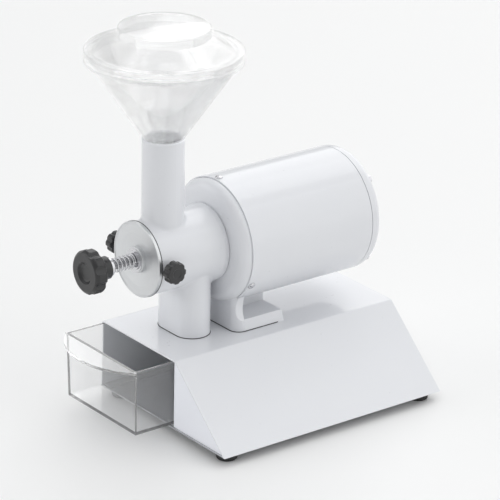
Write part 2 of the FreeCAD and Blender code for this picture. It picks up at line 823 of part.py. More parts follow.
def coil_spring(name, start, end, radius, wire, turns):
    # a spring along the shaft axis, from start to end, with a closed coil at each end
    body = new_body(name, "0", start, "axis_height", turn=ALONG_Y)
    reach = f"({end} - {start} - 2 * {wire} - 2 * {SPRING_COIL})".replace("spring_wire", wire)
    coil = SPRING_COIL.replace("spring_wire", wire)
    spans = [(wire, coil, coil), (f"{wire} + {coil}", f"{reach} / {turns}", reach),
             (f"{wire} + {coil} + {reach}", coil, coil)]
    for foot, pitch, height in spans:
        sketch = new_sketch(body, "XZ")
        disc(sketch, f"{radius} - {wire}", foot, wire)
        helix = body.newObject("PartDesign::AdditiveHelix", f"{name}_coil")
        helix.Profile = sketch
        helix.ReferenceAxis = (sketch, ["V_Axis"])
        helix.Mode = 0
        helix.setExpression("Pitch", bound(pitch))
        helix.setExpression("Height", bound(height))
        doc.recompute()
    return body


def make_adjuster():
    body = new_body("spring_washer", z="axis_height")
    sketch = new_sketch(body, "YZ")
    outline(sketch, [
        (WASHER_STEP, "screw_radius + slide_gap"),
        (BOSS_FACE, "screw_radius + slide_gap"),
        (BOSS_FACE, "washer_radius"),
        (WASHER_FACE, "washer_radius"),
        (WASHER_FACE, "washer_step_radius"),
        (WASHER_STEP, "washer_step_radius"),
    ])
    turned(body, "Revolution", sketch)
    floor = f"({SEAT_FLOOR} + 1 + run_gap)"
    coil_spring("adjuster_spring", floor, WASHER_STEP, "spring_radius", "spring_wire", "spring_turns")
    body = new_body("spring_seat", z="axis_height")
    sketch = new_sketch(body, "YZ")
    outline(sketch, [
        ("0 - knob_hub_end", "screw_radius + slide_gap"),
        ("0 - knob_hub_end", "seat_radius"),
        (f"{SEAT_FLOOR} + 2.6", "seat_radius"),
        (f"{SEAT_FLOOR} + 2.6", "spring_radius + slide_gap"),
        (SEAT_FLOOR, "spring_radius + slide_gap"),
        (SEAT_FLOOR, "screw_radius + slide_gap"),
    ])
    turned(body, "Revolution", sketch)

    body = new_body("adjusting_knob", "0", "0 - knob_hub_end", "axis_height")
    sketch = new_sketch(body, "YZ")
    face = "(0 - knob_hub_length - knob_head_length)"
    blind = f"({face} + knob_dish_depth + 3)"
    outline(sketch, [
        ("0", SCREW_BORE),
        ("0", "knob_hub_radius"),
        ("2 - knob_hub_length", "knob_hub_radius"),
        ("0 - knob_hub_length", "knob_hub_radius + 2", "0 - 2"),
        ("0 - knob_hub_length", "knob_radius - 3"),
        ("0 - knob_hub_length - 3", "knob_radius", "3"),
        (f"{face} + knob_bevel", "knob_radius"),
        (face, "knob_face_radius", "1.6 * knob_bevel"),
        (face, "knob_dish_radius"),
        (f"{face} + knob_dish_depth - 2", "knob_dish_radius - 1.5"),
        (f"{face} + knob_dish_depth", "knob_dish_radius - 4.5", "0 - 4"),
        (f"{face} + knob_dish_depth", "0"),
        (blind, "0"),
        (blind, SCREW_BORE),
    ])
    turned(body, "Revolution", sketch)
    sketch = new_sketch(body, "XZ", f"{face} - 1")
    reach = "(knob_radius + knob_flute_radius - knob_flute_depth)"
    disc(sketch, f"{reach} * cos(180 / knob_lobes)", f"{reach} * sin(180 / knob_lobes)", "knob_flute_radius")
    around(body, extrude(body, "Pocket", sketch, "knob_head_length + 1"), "Y", "knob_lobes")
    soften(body, "Fillet", "knob_edge", lambda edge: lobe_edge(edge, "y", "knob_head_length / 3"))

    body = new_body("adjusting_screw", z="axis_height")
    sketch = new_sketch(body, "YZ")
    outer = f"({blind} - knob_hub_end + run_gap)"
    outline(sketch, [
        (outer, "0"),
        (outer, "screw_radius - 1"),
        (f"{outer} + 1", "screw_radius"),
        ("screw_tip - 1", "screw_radius"),
        ("screw_tip", "screw_radius - 1"),
        ("screw_tip", "screw_radius / 2 + 1"),
        ("screw_tip + pad_disc_thickness / 2", "screw_radius / 2 + 1"),
        ("screw_tip + pad_disc_thickness / 2", "0"),
    ])
    turned(body, "Revolution", sketch)

    body = new_body("thrust_pad", z="axis_height")
    sketch = new_sketch(body, "YZ")
    outline(sketch, [
        ("screw_tip", "screw_radius / 2 + 1 + run_gap"),
        ("screw_tip", "pad_disc_radius"),
        ("screw_tip + pad_disc_thickness", "pad_disc_radius"),
        ("screw_tip + pad_disc_thickness", "0"),
        ("screw_tip + 0.6 * pad_disc_thickness", "0"),
        ("screw_tip + 0.6 * pad_disc_thickness", "screw_radius / 2 + 1 + run_gap"),
    ])
    turned(body, "Revolution", sketch)


def make_clamps():
    tip = f"({SPIGOT_RADIUS} + 2 * run_gap + pad_thickness)"
    knob_start = "(chamber_radius + clamp_stand_off)"
    knob_end = f"({knob_start} + clamp_head)"
    grip_start = f"({knob_start} + clamp_hub_length)"
    for side, yaw in (("left", 180), ("right", 0)):
        spot = ("0", "clamp_centre", "axis_height", (yaw, 0, 0))
        body = new_body(f"clamp_knob_{side}", *spot)
        sketch = new_sketch(body, "XZ")
        outline(sketch, [
            (knob_start, "clamp_stud_radius"),
            (f"{knob_end} - 3", "clamp_stud_radius"),
            (f"{knob_end} - 3", "0"),
            (f"{knob_end} - 0.5", "0"),
            (f"{knob_end} - 0.5", "clamp_dot_radius"),
            (knob_end, "clamp_dot_radius + 0.8"),
            (knob_end, "clamp_radius - 2"),
            (f"{knob_end} - 2", "clamp_radius", "2"),
            (f"{grip_start} + 1", "clamp_radius"),
            (grip_start, "clamp_radius - 1"),
            (grip_start, "clamp_hub_radius"),
            (knob_start, "clamp_hub_radius"),
        ])
        turned(body, "Revolution", sketch)
        sketch = new_sketch(body, "YZ", grip_start)
        reach = "(clamp_radius + clamp_flute_radius - clamp_flute_depth)"
        disc(sketch, f"{reach} * cos(22.5)", f"{reach} * sin(22.5)", "clamp_flute_radius")
        around(body, extrude(body, "Pocket", sketch, "clamp_head"), "X", "knob_lobes")
        soften(body, "Fillet", "clamp_edge", lambda edge: lobe_edge(edge, "x", "clamp_head / 3"))

        body = new_body(f"clamp_stud_{side}", *spot)
        sketch = new_sketch(body, "XZ")
        outline(sketch, [
            (f"{tip} + run_gap", "0"),
            (f"{knob_end} - 3 - run_gap", "0"),
            (f"{knob_end} - 3 - run_gap", "clamp_stud_radius - run_gap"),
            (f"{tip} + run_gap + 1", "clamp_stud_radius - run_gap"),
            (f"{tip} + run_gap", "clamp_stud_radius - 1"),
        ])
        turned(body, "Revolution", sketch)

        body = new_body(f"clamp_pad_{side}", *spot)
        sketch = new_sketch(body, "YZ", f"{tip} - pad_thickness")
        disc(sketch, "0", "0", "clamp_stud_radius - 1.5 * slide_gap")
        extrude(body, "Pad", sketch, "pad_thickness")


BURR_BACK = "(burr_seat + fixed_burr_thickness + grinding_gap)"
BURR_END = f"({BURR_BACK} + rotating_burr_thickness)"
AUGER_START = "(screw_tip + pad_disc_thickness + slide_gap)"
SHAFT_RADIUS = "(bearing_inner - shaft_step)"
KEY_START = "(auger_hub_end - 2 - key_length)"


def cut_grooves(body, level, inner, back):
    # leaning grooves from the burr's eye to its rim, each wider and deeper towards the eye
    sketch = new_sketch(body, "XZ", level)
    outline(sketch, [
        (f"{inner} - 1", "0 - 1"),
        ("burr_radius + 1", "3.4"),
        ("burr_radius + 1", "5"),
        (f"{inner} - 1", "3"),
    ])
    around(body, extrude(body, "Pocket", sketch, "burr_groove_depth", back), "Y", "burr_grooves")


def make_burrs():
    body = ring("fixed_burr", "burr_seat", "burr_seat + fixed_burr_thickness", "barrel_radius", "burr_radius")
    cut_grooves(body, "burr_seat + fixed_burr_thickness", "barrel_radius", True)
    sketch = new_sketch(body, "XZ", "burr_seat - 1")
    disc(sketch, "0", "burr_screw_circle", "4")
    around(body, extrude(body, "Pocket", sketch, "burr_seat + 9"), "Y", "3")
    screws = []
    for angle in ("90", "210", "330"):
        x = f"burr_screw_circle * cos({angle})"
        z = f"burr_screw_circle * sin({angle})"
        shank = cylinder(f"burr_shank_{angle}", "2", "8", x, "burr_seat - 8", z, ALONG_Y)
        head = cylinder(f"burr_head_{angle}", "4", "fixed_burr_thickness - 1", x, "burr_seat", z, ALONG_Y)
        screws.append(joined("MultiFuse", f"burr_screw_{angle}", [shank, head]))
    place(keep("burr_screws", joined("Compound", "burr_screws", screws)), z="axis_height")

    body = ring("rotating_burr", BURR_BACK, BURR_END, "auger_hub_radius", "burr_radius")
    cut_grooves(body, BURR_BACK, "auger_hub_radius", False)


def make_auger():
    body = new_body("auger", "0", "0", "axis_height", turn=ALONG_Y)
    sketch = new_sketch(body, "XZ")
    bore_start = "(shaft_front - 3)"
    outline(sketch, [
        ("0", AUGER_START),
        ("auger_core_radius - 2", AUGER_START),
        ("auger_core_radius", f"{AUGER_START} + 2", "2"),
        ("auger_core_radius", "burr_seat"),
        ("auger_hub_radius", "burr_seat + fixed_burr_thickness"),
        ("auger_hub_radius", BURR_END),
        ("burr_radius - 4", BURR_END),
        ("burr_radius - 4", f"{BURR_END} + 3"),
        ("auger_hub_radius", f"{BURR_END} + 3"),
        ("auger_hub_radius", "auger_hub_end"),
        (f"{SHAFT_RADIUS} + run_gap", "auger_hub_end"),
        (f"{SHAFT_RADIUS} + run_gap", bore_start),
        ("0", bore_start),
    ])
    turned(body, "Revolution", sketch, "V_Axis")
    sketch = new_sketch(body, "XZ")
    foot = f"({AUGER_START} + 3)"
    rectangle(sketch, "auger_core_radius - 1", foot, "barrel_radius - auger_flight_gap",
              f"{foot} + flight_thickness")
    helix = body.newObject("PartDesign::AdditiveHelix", "auger_flight")
    helix.Profile = sketch
    helix.ReferenceAxis = (sketch, ["V_Axis"])
    helix.Mode = 0
    helix.LeftHanded = True
    helix.setExpression("Pitch", bound("auger_pitch"))
    helix.setExpression("Height", bound(f"burr_seat - {foot} - flight_thickness - 1"))
    doc.recompute()
    # keyway for the shaft's key
    sketch = new_sketch(body, "XY", "auger_hub_end + 1")
    half = "(key_width / 2 + run_gap)"
    rectangle(sketch, f"0 - {half}", f"0 - {SHAFT_RADIUS} - key_height / 2 - run_gap", half, "0")
    extrude(body, "Pocket", sketch, "key_length + 6", back=True)


def make_hopper():
    body = new_body("hopper", "0", "tube_centre")
    sketch = new_sketch(body, "XZ")
    slope = "((hopper_cone_radius - hopper_throat_radius) / (hopper_rim_base - tube_top))"
    across = f"(hopper_wall * sqrt(1 + {slope}^2))"
    outer = "(mouth_radius - spout_gap)"
    outline(sketch, [
        (f"{outer} - hopper_wall", "tube_top - spout_length"),
        (outer, "tube_top - spout_length"),
        (outer, "tube_top"),
        ("hopper_throat_radius", "tube_top"),
        ("hopper_cone_radius", "hopper_rim_base"),
        ("hopper_rim_radius - 0.6", "hopper_rim_base"),
        ("hopper_rim_radius", "hopper_rim_base + 0.6", "0.6"),
        ("hopper_rim_radius", "hopper_rim_top"),
        ("hopper_rim_radius - 3.5", "hopper_rim_top"),
        ("hopper_rim_radius - 3.5", "hopper_rim_base + 3"),
        (f"hopper_cone_radius - {across}", "hopper_rim_base"),
        (f"hopper_throat_radius - {across} + 4 * {slope}", "tube_top + 4"),
        (f"{outer} - hopper_wall", "tube_top + 0.5"),
    ])
    turned(body, "Revolution", sketch, "V_Axis")


def make_lid():
    body = new_body("hopper_lid", "0", "tube_centre")
    sketch = new_sketch(body, "XZ")
    base = "(hopper_rim_top + slide_gap)"
    outline(sketch, [
        ("0", "lid_top - lid_wall"),
        ("lid_cup_radius - lid_wall", "lid_top - lid_wall"),
        ("lid_cup_radius - lid_wall", "lid_cup_foot"),
        ("lid_brim_inner - 1", "lid_brim_top - lid_wall"),
        ("lid_ring_radius - lid_wall", "lid_brim_top - lid_wall"),
        ("lid_ring_radius - lid_wall", f"{base} - lid_ring_depth"),
        ("lid_ring_radius", f"{base} - lid_ring_depth"),
        ("lid_ring_radius", "lid_brim_top - lid_wall"),
        ("hopper_rim_radius - lid_wall", "lid_brim_top - lid_wall"),
        ("hopper_rim_radius - lid_wall", base),
        ("hopper_rim_radius", base),
        ("hopper_rim_radius", "lid_brim_top - 1"),
        ("hopper_rim_radius - 1", "lid_brim_top", "1"),
        ("lid_brim_inner", "lid_brim_top"),
        ("lid_cup_radius", "lid_cup_foot + 0.6"),
        ("lid_cup_radius", "lid_top - 1.5"),
        ("lid_cup_radius - 1.5", "lid_top", "1.5"),
        ("0", "lid_top"),
    ])
    turned(body, "Revolution", sketch, "V_Axis")


DISC_EDGE = "(head_rear + disc_rounding)"
RING_RADIUS = "(motor_radius - shell_gauge - 2 * run_gap)"
SHELL_SCREW_Y = "(shell_front + 5)"
FLOOR_DROP = "(axis_height - base_top)"
PLATE_DROP = "(axis_height - foot_plate_top)"
NECK_DROP = "(axis_height - base_top - neck_height)"


def hexagon(sketch, x, y, across):
    # a hexagon with corners left and right
    corner = f"({across}) / sqrt(3)"
    half = f"({across}) / 2"
    outline(sketch, [
        (f"{x} + {corner}", y),
        (f"{x} + {corner} / 2", f"{y} + {half}"),
        (f"{x} - {corner} / 2", f"{y} + {half}"),
        (f"{x} - {corner}", y),
        (f"{x} - {corner} / 2", f"{y} - {half}"),
        (f"{x} + {corner} / 2", f"{y} - {half}"),
    ])


def make_motor_bracket():
    body = new_body("motor_bracket", z="axis_height")
    # the wall below the disc is narrowest above the foot
    sketch = new_sketch(body, "XZ", "wall_front")
    shoulder = "(foot_bottom_half_width - 0.6)"
    shoulder_drop = f"({PLATE_DROP} - 1.5)"
    joint = "(0.7 * disc_radius)"
    lower_flare = f"({shoulder} - neck_half_width)"
    lower_rise = f"({shoulder_drop} - {NECK_DROP})"
    lower_curve = f"({lower_flare}^2 + {lower_rise}^2) / (2 * {lower_flare})"
    upper_flare = f"({joint} - neck_half_width)"
    upper_rise = f"({NECK_DROP} - {joint})"
    upper_curve = f"({upper_flare}^2 + {upper_rise}^2) / (2 * {upper_flare})"
    outline(sketch, [
        ("0 - foot_bottom_half_width", f"0 - {FLOOR_DROP}"),
        ("foot_bottom_half_width", f"0 - {FLOOR_DROP}"),
        (shoulder, f"0 - {shoulder_drop}"),
        ("neck_half_width", f"0 - {NECK_DROP}", f"0 - {lower_curve}"),
        (joint, f"0 - {joint}", f"0 - {upper_curve}"),
        (joint, "0 - disc_radius / 2"),
        (f"0 - {joint}", "0 - disc_radius / 2"),
        (f"0 - {joint}", f"0 - {joint}"),
        ("0 - neck_half_width", f"0 - {NECK_DROP}", f"0 - {upper_curve}"),
        (f"0 - {shoulder}", f"0 - {shoulder_drop}", f"0 - {lower_curve}"),
    ])
    extrude(body, "Pad", sketch, "wall_rear - wall_front")
    sketch = new_sketch(body, "XZ", "wall_front")
    outline(sketch, [
        ("0 - foot_bottom_half_width", f"0 - {FLOOR_DROP}"),
        ("foot_bottom_half_width", f"0 - {FLOOR_DROP}"),
        ("foot_top_half_width", f"0 - {PLATE_DROP}"),
        ("0 - foot_top_half_width", f"0 - {PLATE_DROP}"),
    ])
    extrude(body, "Pad", sketch, "foot_plate_rear - wall_front")
    # the front corners of the foot and the wall are rounded in plan
    sketch = new_sketch(body, "XY", f"0 - {FLOOR_DROP} - 1")
    for side in ("1", "0 - 1"):
        middle = f"({side}) * (foot_bottom_half_width - foot_corner)"
        outer = f"({side}) * foot_bottom_half_width"
        beyond = f"({side}) * ({joint} + 1)"
        outline(sketch, [
            (middle, "wall_front - 1"),
            (beyond, "wall_front - 1"),
            (beyond, "wall_front + foot_corner"),
            (outer, "wall_front + foot_corner"),
            (middle, "wall_front", f"({side}) * (0 - foot_corner)"),
        ])
    extrude(body, "Pocket", sketch, FLOOR_DROP)
    sketch = new_sketch(body, "YZ")
    outline(sketch, [
        ("collar_start", "bearing_outer - 5.5"),
        ("collar_start", "bore_radius - run_gap"),
        ("head_rear", "bore_radius - run_gap"),
        ("head_rear", "disc_radius - disc_rounding"),
        (DISC_EDGE, "disc_radius", "0 - disc_rounding"),
        ("bracket_spigot_end", RING_RADIUS),
        ("bracket_spigot_end", "cavity_radius"),
        ("cavity_start", "cavity_radius"),
        ("cavity_start", "bearing_outer"),
        ("front_bearing_start", "bearing_outer"),
        ("front_bearing_start", "bearing_outer - 5.5"),
    ])
    turned(body, "Revolution", sketch)
    # a rib under the motor carries the lead down
    sketch = new_sketch(body, "XY", f"0 - {PLATE_DROP} - 1")
    rib = "(lead_radius + 5)"
    rectangle(sketch, f"0 - {rib}", "wall_rear - 1", rib, "foot_plate_rear")
    extrude(body, "Pad", sketch, "axis_height - foot_plate_top - 0.8 * motor_radius")
    # room for the shell round the disc and over the rib
    sketch = new_sketch(body, "YZ")
    shell_clear = "(motor_radius + slide_gap)"
    outline(sketch, [
        ("shell_front - slide_gap", RING_RADIUS),
        ("bracket_spigot_end", RING_RADIUS),
        ("bracket_spigot_end", "0"),
        ("foot_plate_rear + 1", "0"),
        ("foot_plate_rear + 1", shell_clear),
        ("shell_front - slide_gap", shell_clear),
    ])
    turned(body, "Groove", sketch)
    sketch = new_sketch(body, "XY", f"0 - {FLOOR_DROP} - 1")
    disc(sketch, "0", "lead_y", "lead_radius + slide_gap")
    extrude(body, "Pocket", sketch, f"{FLOOR_DROP} / 2")
    sketch = new_sketch(body, "XY", f"0 - {FLOOR_DROP} - 1")
    for row in BOLT_ROWS:
        disc(sketch, "bracket_bolt_spread", row, "bracket_bolt_radius")
        disc(sketch, "0 - bracket_bolt_spread", row, "bracket_bolt_radius")
    extrude(body, "Pocket", sketch, "foot_plate_thickness")
    sketch = new_sketch(body, "XZ", "bracket_spigot_end - 9")
    disc(sketch, "tie_circle * cos(45)", "tie_circle * sin(45)", "tie_radius")
    around(body, extrude(body, "Pocket", sketch, "10"), "Y", "4")
    sketch = new_sketch(body, "XZ", "head_rear - 1")
    disc(sketch, f"{HEAD_BOLT_CIRCLE} * cos(45)", f"{HEAD_BOLT_CIRCLE} * sin(45)", "head_bolt_radius")
    around(body, extrude(body, "Pocket", sketch, "cavity_start - head_rear + 2"), "Y", "4")
    sketch = new_sketch(body, "XY", "cavity_radius - 1")
    disc(sketch, "0", SHELL_SCREW_Y, "2")
    around(body, extrude(body, "Pocket", sketch, "motor_radius - cavity_radius + 2"), "Y", "3")


def hexagon_head(name, corner, height, x, y, z, turn=(0, 0, 0)):
    head = doc.addObject("Part::Prism", name)
    head.Polygon = 6
    head.setExpression("Circumradius", bound(corner))
    head.setExpression("Height", bound(height))
    head.Placement = FreeCAD.Placement(FreeCAD.Vector(), FreeCAD.Rotation(*turn))
    for letter, text in (("x", x), ("y", y), ("z", z)):
        head.setExpression(f"Placement.Base.{letter}", bound(text))
    return head


def bolt(name, x, y, z, radius, length, corner, height):
    # a bolt along +Y: its shank from y, then its hexagon head
    shank = cylinder(f"{name}_shank", radius, length, x, y, z, ALONG_Y)
    head = hexagon_head(f"{name}_head", corner, height, x, f"{y} + {length}", z, ALONG_Y)
    return joined("MultiFuse", name, [shank, head])


def bolt_circle(name, radius, start, length, size, corner, height):
    # four bolts on the diagonals about the shaft axis
    bolts = []
    for angle in ("45", "135", "225", "315"):
        x = f"{radius} * cos({angle})"
        z = f"{radius} * sin({angle})"
        bolts.append(bolt(f"{name}_{angle}", x, start, z, size, length, corner, height))
    place(keep(name, joined("Compound", name, bolts)), z="axis_height")


def make_bracket_bolts():
    # screwed up into the bracket's foot from inside the base
    bolts = []
    head_base = f"({SHEET_UNDER} - bracket_bolt_head)"
    for row in BOLT_ROWS:
        for x in ("0 - bracket_bolt_spread", "bracket_bolt_spread"):
            name = f"bracket_bolt_{len(bolts)}"
            length = f"foot_plate_top - 2 - {head_base}"
            shank = cylinder(f"{name}_shank", "bracket_bolt_radius", length, x, row, head_base)
            head = hexagon_head(f"{name}_head", "2 * bracket_bolt_radius - 0.2", "bracket_bolt_head", x, row, head_base)
            bolts.append(joined("MultiFuse", name, [shank, head]))
    place(keep("bracket_bolts", joined("Compound", "bracket_bolts", bolts)))


def make_motor_shell():
    body = ring("motor_shell", "shell_front", "shell_rear", "motor_radius - shell_gauge", "motor_radius")
    sketch = new_sketch(body, "XY")
    disc(sketch, "0", SHELL_SCREW_Y, "2")
    around(body, extrude(body, "Pocket", sketch, "motor_radius + 1"), "Y", "3")
    sketch = new_sketch(body, "XY", "0 - motor_radius - 1")
    disc(sketch, "0", "lead_y", "lead_radius + slide_gap")
    extrude(body, "Pocket", sketch, "10")
    screws = []
    for angle in ("90", "210", "330"):
        inner = "(cavity_radius + 1)"
        turn = (0, 90 - number(angle), 0)
        way = (f"cos({angle})", f"sin({angle})")
        shank = cylinder(f"shell_shank_{angle}", "2", f"motor_radius + 0.4 - {inner}",
                         f"{inner} * {way[0]}", SHELL_SCREW_Y, f"{inner} * {way[1]}", turn)
        head = cylinder(f"shell_head_{angle}", "3.6", "1.8", f"(motor_radius + 0.1) * {way[0]}",
                        SHELL_SCREW_Y, f"(motor_radius + 0.1) * {way[1]}", turn)
        screws.append(joined("MultiFuse", f"shell_screw_{angle}", [shank, head]))
    place(keep("shell_screws", joined("Compound", "shell_screws", screws)), z="axis_height")


REAR_BEARING = "(shell_rear - 5)"
CAP_FLOOR = "(rear_cap_end - 7)"


def make_rear_cap():
    body = new_body("motor_rear_cap", z="axis_height")
    sketch = new_sketch(body, "YZ")
    outline(sketch, [
        ("rear_cap_end", "0"),
        ("rear_cap_end", "motor_radius - rear_cap_rounding"),
        ("rear_cap_end - rear_cap_rounding", "motor_radius", "rear_cap_rounding"),
        ("shell_rear + seam_width", "motor_radius"),
        ("shell_rear + seam_width", f"{RING_RADIUS} - seam_depth"),
        ("shell_rear", f"{RING_RADIUS} - seam_depth"),
        ("shell_rear", RING_RADIUS),
        ("shell_rear - 8", RING_RADIUS),
        ("shell_rear - 8", "cavity_radius + 1"),
        (CAP_FLOOR, "cavity_radius - 2"),
        (CAP_FLOOR, "bearing_outer + 6"),
        (REAR_BEARING, "bearing_outer + 5"),
        (REAR_BEARING, "bearing_outer"),
        (f"{REAR_BEARING} + bearing_width", "bearing_outer"),
        (f"{REAR_BEARING} + bearing_width", "bearing_inner + 2"),
        ("shaft_rear + 2", "bearing_inner + 2"),
        ("shaft_rear + 2", "0"),
    ])
    turned(body, "Revolution", sketch)
    sketch = new_sketch(body, "XZ", f"{CAP_FLOOR} - 1")
    rectangle(sketch, "bearing_outer + 10", "0 - 2.5", "cavity_radius - 8", "2.5")
    around(body, extrude(body, "Pocket", sketch, "9"), "Y", "12")
    sketch = new_sketch(body, "XZ", "shell_rear - 9")
    disc(sketch, "tie_circle * cos(45)", "tie_circle * sin(45)", "tie_radius")
    around(body, extrude(body, "Pocket", sketch, "rear_cap_end - shell_rear + 10"), "Y", "4")
    sketch = new_sketch(body, "XZ", "rear_cap_end - 3")
    disc(sketch, "tie_circle * cos(45)", "tie_circle * sin(45)", "tie_radius + 3")
    around(body, extrude(body, "Pocket", sketch, "4"), "Y", "4")
    start = "(bracket_spigot_end - 8)"
    bolt_circle("tie_bolts", "tie_circle", start, f"rear_cap_end - 3 - {start}", "tie_radius", "4.6", "3.4")
    bolt_circle("head_bolts", HEAD_BOLT_CIRCLE, "head_rear - 10", "cavity_start - head_rear + 10",
                "head_bolt_radius", "4.2", "3")


STATOR_END = "(stator_start + stator_length)"


def make_stator():
    body = ring("stator_core", "stator_start", STATOR_END, "stator_bore", RING_RADIUS)
    sketch = new_sketch(body, "XZ", "stator_start - 1")
    disc(sketch, "tie_circle * cos(45)", "tie_circle * sin(45)", "tie_radius + 0.4")
    around(body, extrude(body, "Pocket", sketch, "stator_length + 2"), "Y", "4")
    sketch = new_sketch(body, "XZ", "stator_start - 1")
    disc(sketch, "stator_bore + 12", "0", "4")
    around(body, extrude(body, "Pocket", sketch, "stator_length + 2"), "Y", "12")
    body = new_body("stator_windings", z="axis_height")
    sketch = new_sketch(body, "YZ")
    for near_end, far_end in (("stator_start - winding_reach", "stator_start"),
                              (STATOR_END, f"{STATOR_END} + winding_reach")):
        bottom = "(stator_bore + 5)"
        top = "(cavity_radius - 2)"
        outline(sketch, [
            (f"{near_end} + 4", bottom),
            (f"{far_end} - 4", bottom),
            (far_end, f"{bottom} + 4", "4"),
            (far_end, f"{top} - 4"),
            (f"{far_end} - 4", top, "4"),
            (f"{near_end} + 4", top),
            (near_end, f"{top} - 4", "4"),
            (near_end, f"{bottom} + 4"),
        ])
    turned(body, "Revolution", sketch)


def make_rotor():
    body = new_body("motor_shaft", z="axis_height")
    sketch = new_sketch(body, "YZ")
    core = "(bearing_inner + 1.5)"
    front = "(front_bearing_start + bearing_width)"
    fit = "(bearing_inner - run_gap)"
    outline(sketch, [
        ("shaft_front", "0"),
        ("shaft_rear", "0"),
        ("shaft_rear", f"{fit} - 0.5"),
        ("shaft_rear - 0.5", fit),
        (REAR_BEARING, fit),
        (REAR_BEARING, core),
        (front, core),
        (front, fit),
        ("front_bearing_start", fit),
        ("front_bearing_start", SHAFT_RADIUS),
        ("collar_start - 1", SHAFT_RADIUS),
        ("collar_start - 1", "bearing_outer - 6.5"),
        ("collar_start - 3", "bearing_outer - 6.5"),
        ("collar_start - 3", SHAFT_RADIUS),
        ("shaft_front + 1", SHAFT_RADIUS),
        ("shaft_front", f"{SHAFT_RADIUS} - 1"),
    ])
    turned(body, "Revolution", sketch)
    sketch = new_sketch(body, "XY", f"{SHAFT_RADIUS} - key_height / 2")
    rectangle(sketch, "0 - key_width / 2", KEY_START, "key_width / 2", f"{KEY_START} + key_length")
    extrude(body, "Pocket", sketch, "key_height")
    key = box("drive_key", "key_width", "key_length", "key_height")
    place(keep("drive_key", key), "0 - key_width / 2", KEY_START,
          f"axis_height + {SHAFT_RADIUS} - key_height / 2")

    body = new_body("rotor_core", z="axis_height")
    sketch = new_sketch(body, "YZ")
    outline(sketch, [
        ("stator_start", core),
        (STATOR_END, core),
        (STATOR_END, "bearing_outer + 2"),
        (f"{STATOR_END} + 5", "bearing_outer + 4"),
        (f"{STATOR_END} + 5", "stator_bore - 3"),
        (STATOR_END, "stator_bore - 2"),
        (STATOR_END, "stator_bore - air_gap"),
        ("stator_start", "stator_bore - air_gap"),
        ("stator_start", "stator_bore - 2"),
        ("stator_start - 5", "stator_bore - 3"),
        ("stator_start - 5", "bearing_outer + 4"),
        ("stator_start", "bearing_outer + 2"),
    ])
    turned(body, "Revolution", sketch)

    for name, start in (("front_bearing", "front_bearing_start"), ("rear_bearing", REAR_BEARING)):
        body = new_body(name, "0", start, "axis_height")
        sketch = new_sketch(body, "YZ")
        race = "(bearing_inner + 3)"
        shield = "(bearing_outer - 3)"
        outline(sketch, [
            ("0", "bearing_inner"),
            ("bearing_width", "bearing_inner"),
            ("bearing_width", race),
            ("bearing_width - 0.6", race),
            ("bearing_width - 0.6", shield),
            ("bearing_width", shield),
            ("bearing_width", "bearing_outer"),
            ("0", "bearing_outer"),
            ("0", shield),
            ("0.6", shield),
            ("0.6", race),
            ("0", race),
        ])
        turned(body, "Revolution", sketch)
    ring("shaft_seal", "collar_start + 1", "collar_start + 6", f"{SHAFT_RADIUS} + run_gap",
         "bearing_outer - 5.5")
    coil_spring("auger_spring", "(auger_hub_end + 1 + run_gap)", "(collar_start - 3)",
                f"({SHAFT_RADIUS} + slide_gap + 1.6)", "0.8", "1")

    body = new_body("cooling_fan", "0", "fan_start", "axis_height")
    sketch = new_sketch(body, "YZ")
    outline(sketch, [
        ("0", core),
        ("fan_width", core),
        ("fan_width", f"{core} + 4"),
        ("2", f"{core} + 6"),
        ("2", "fan_radius"),
        ("0", "fan_radius"),
    ])
    turned(body, "Revolution", sketch)
    sketch = new_sketch(body, "XZ", "1")
    rectangle(sketch, f"{core} + 4", "0 - 1", "fan_radius", "1")
    around(body, extrude(body, "Pad", sketch, "fan_width - 1"), "Y", "fan_blades")


PANEL_FACE = "(base_length - panel_recess)"


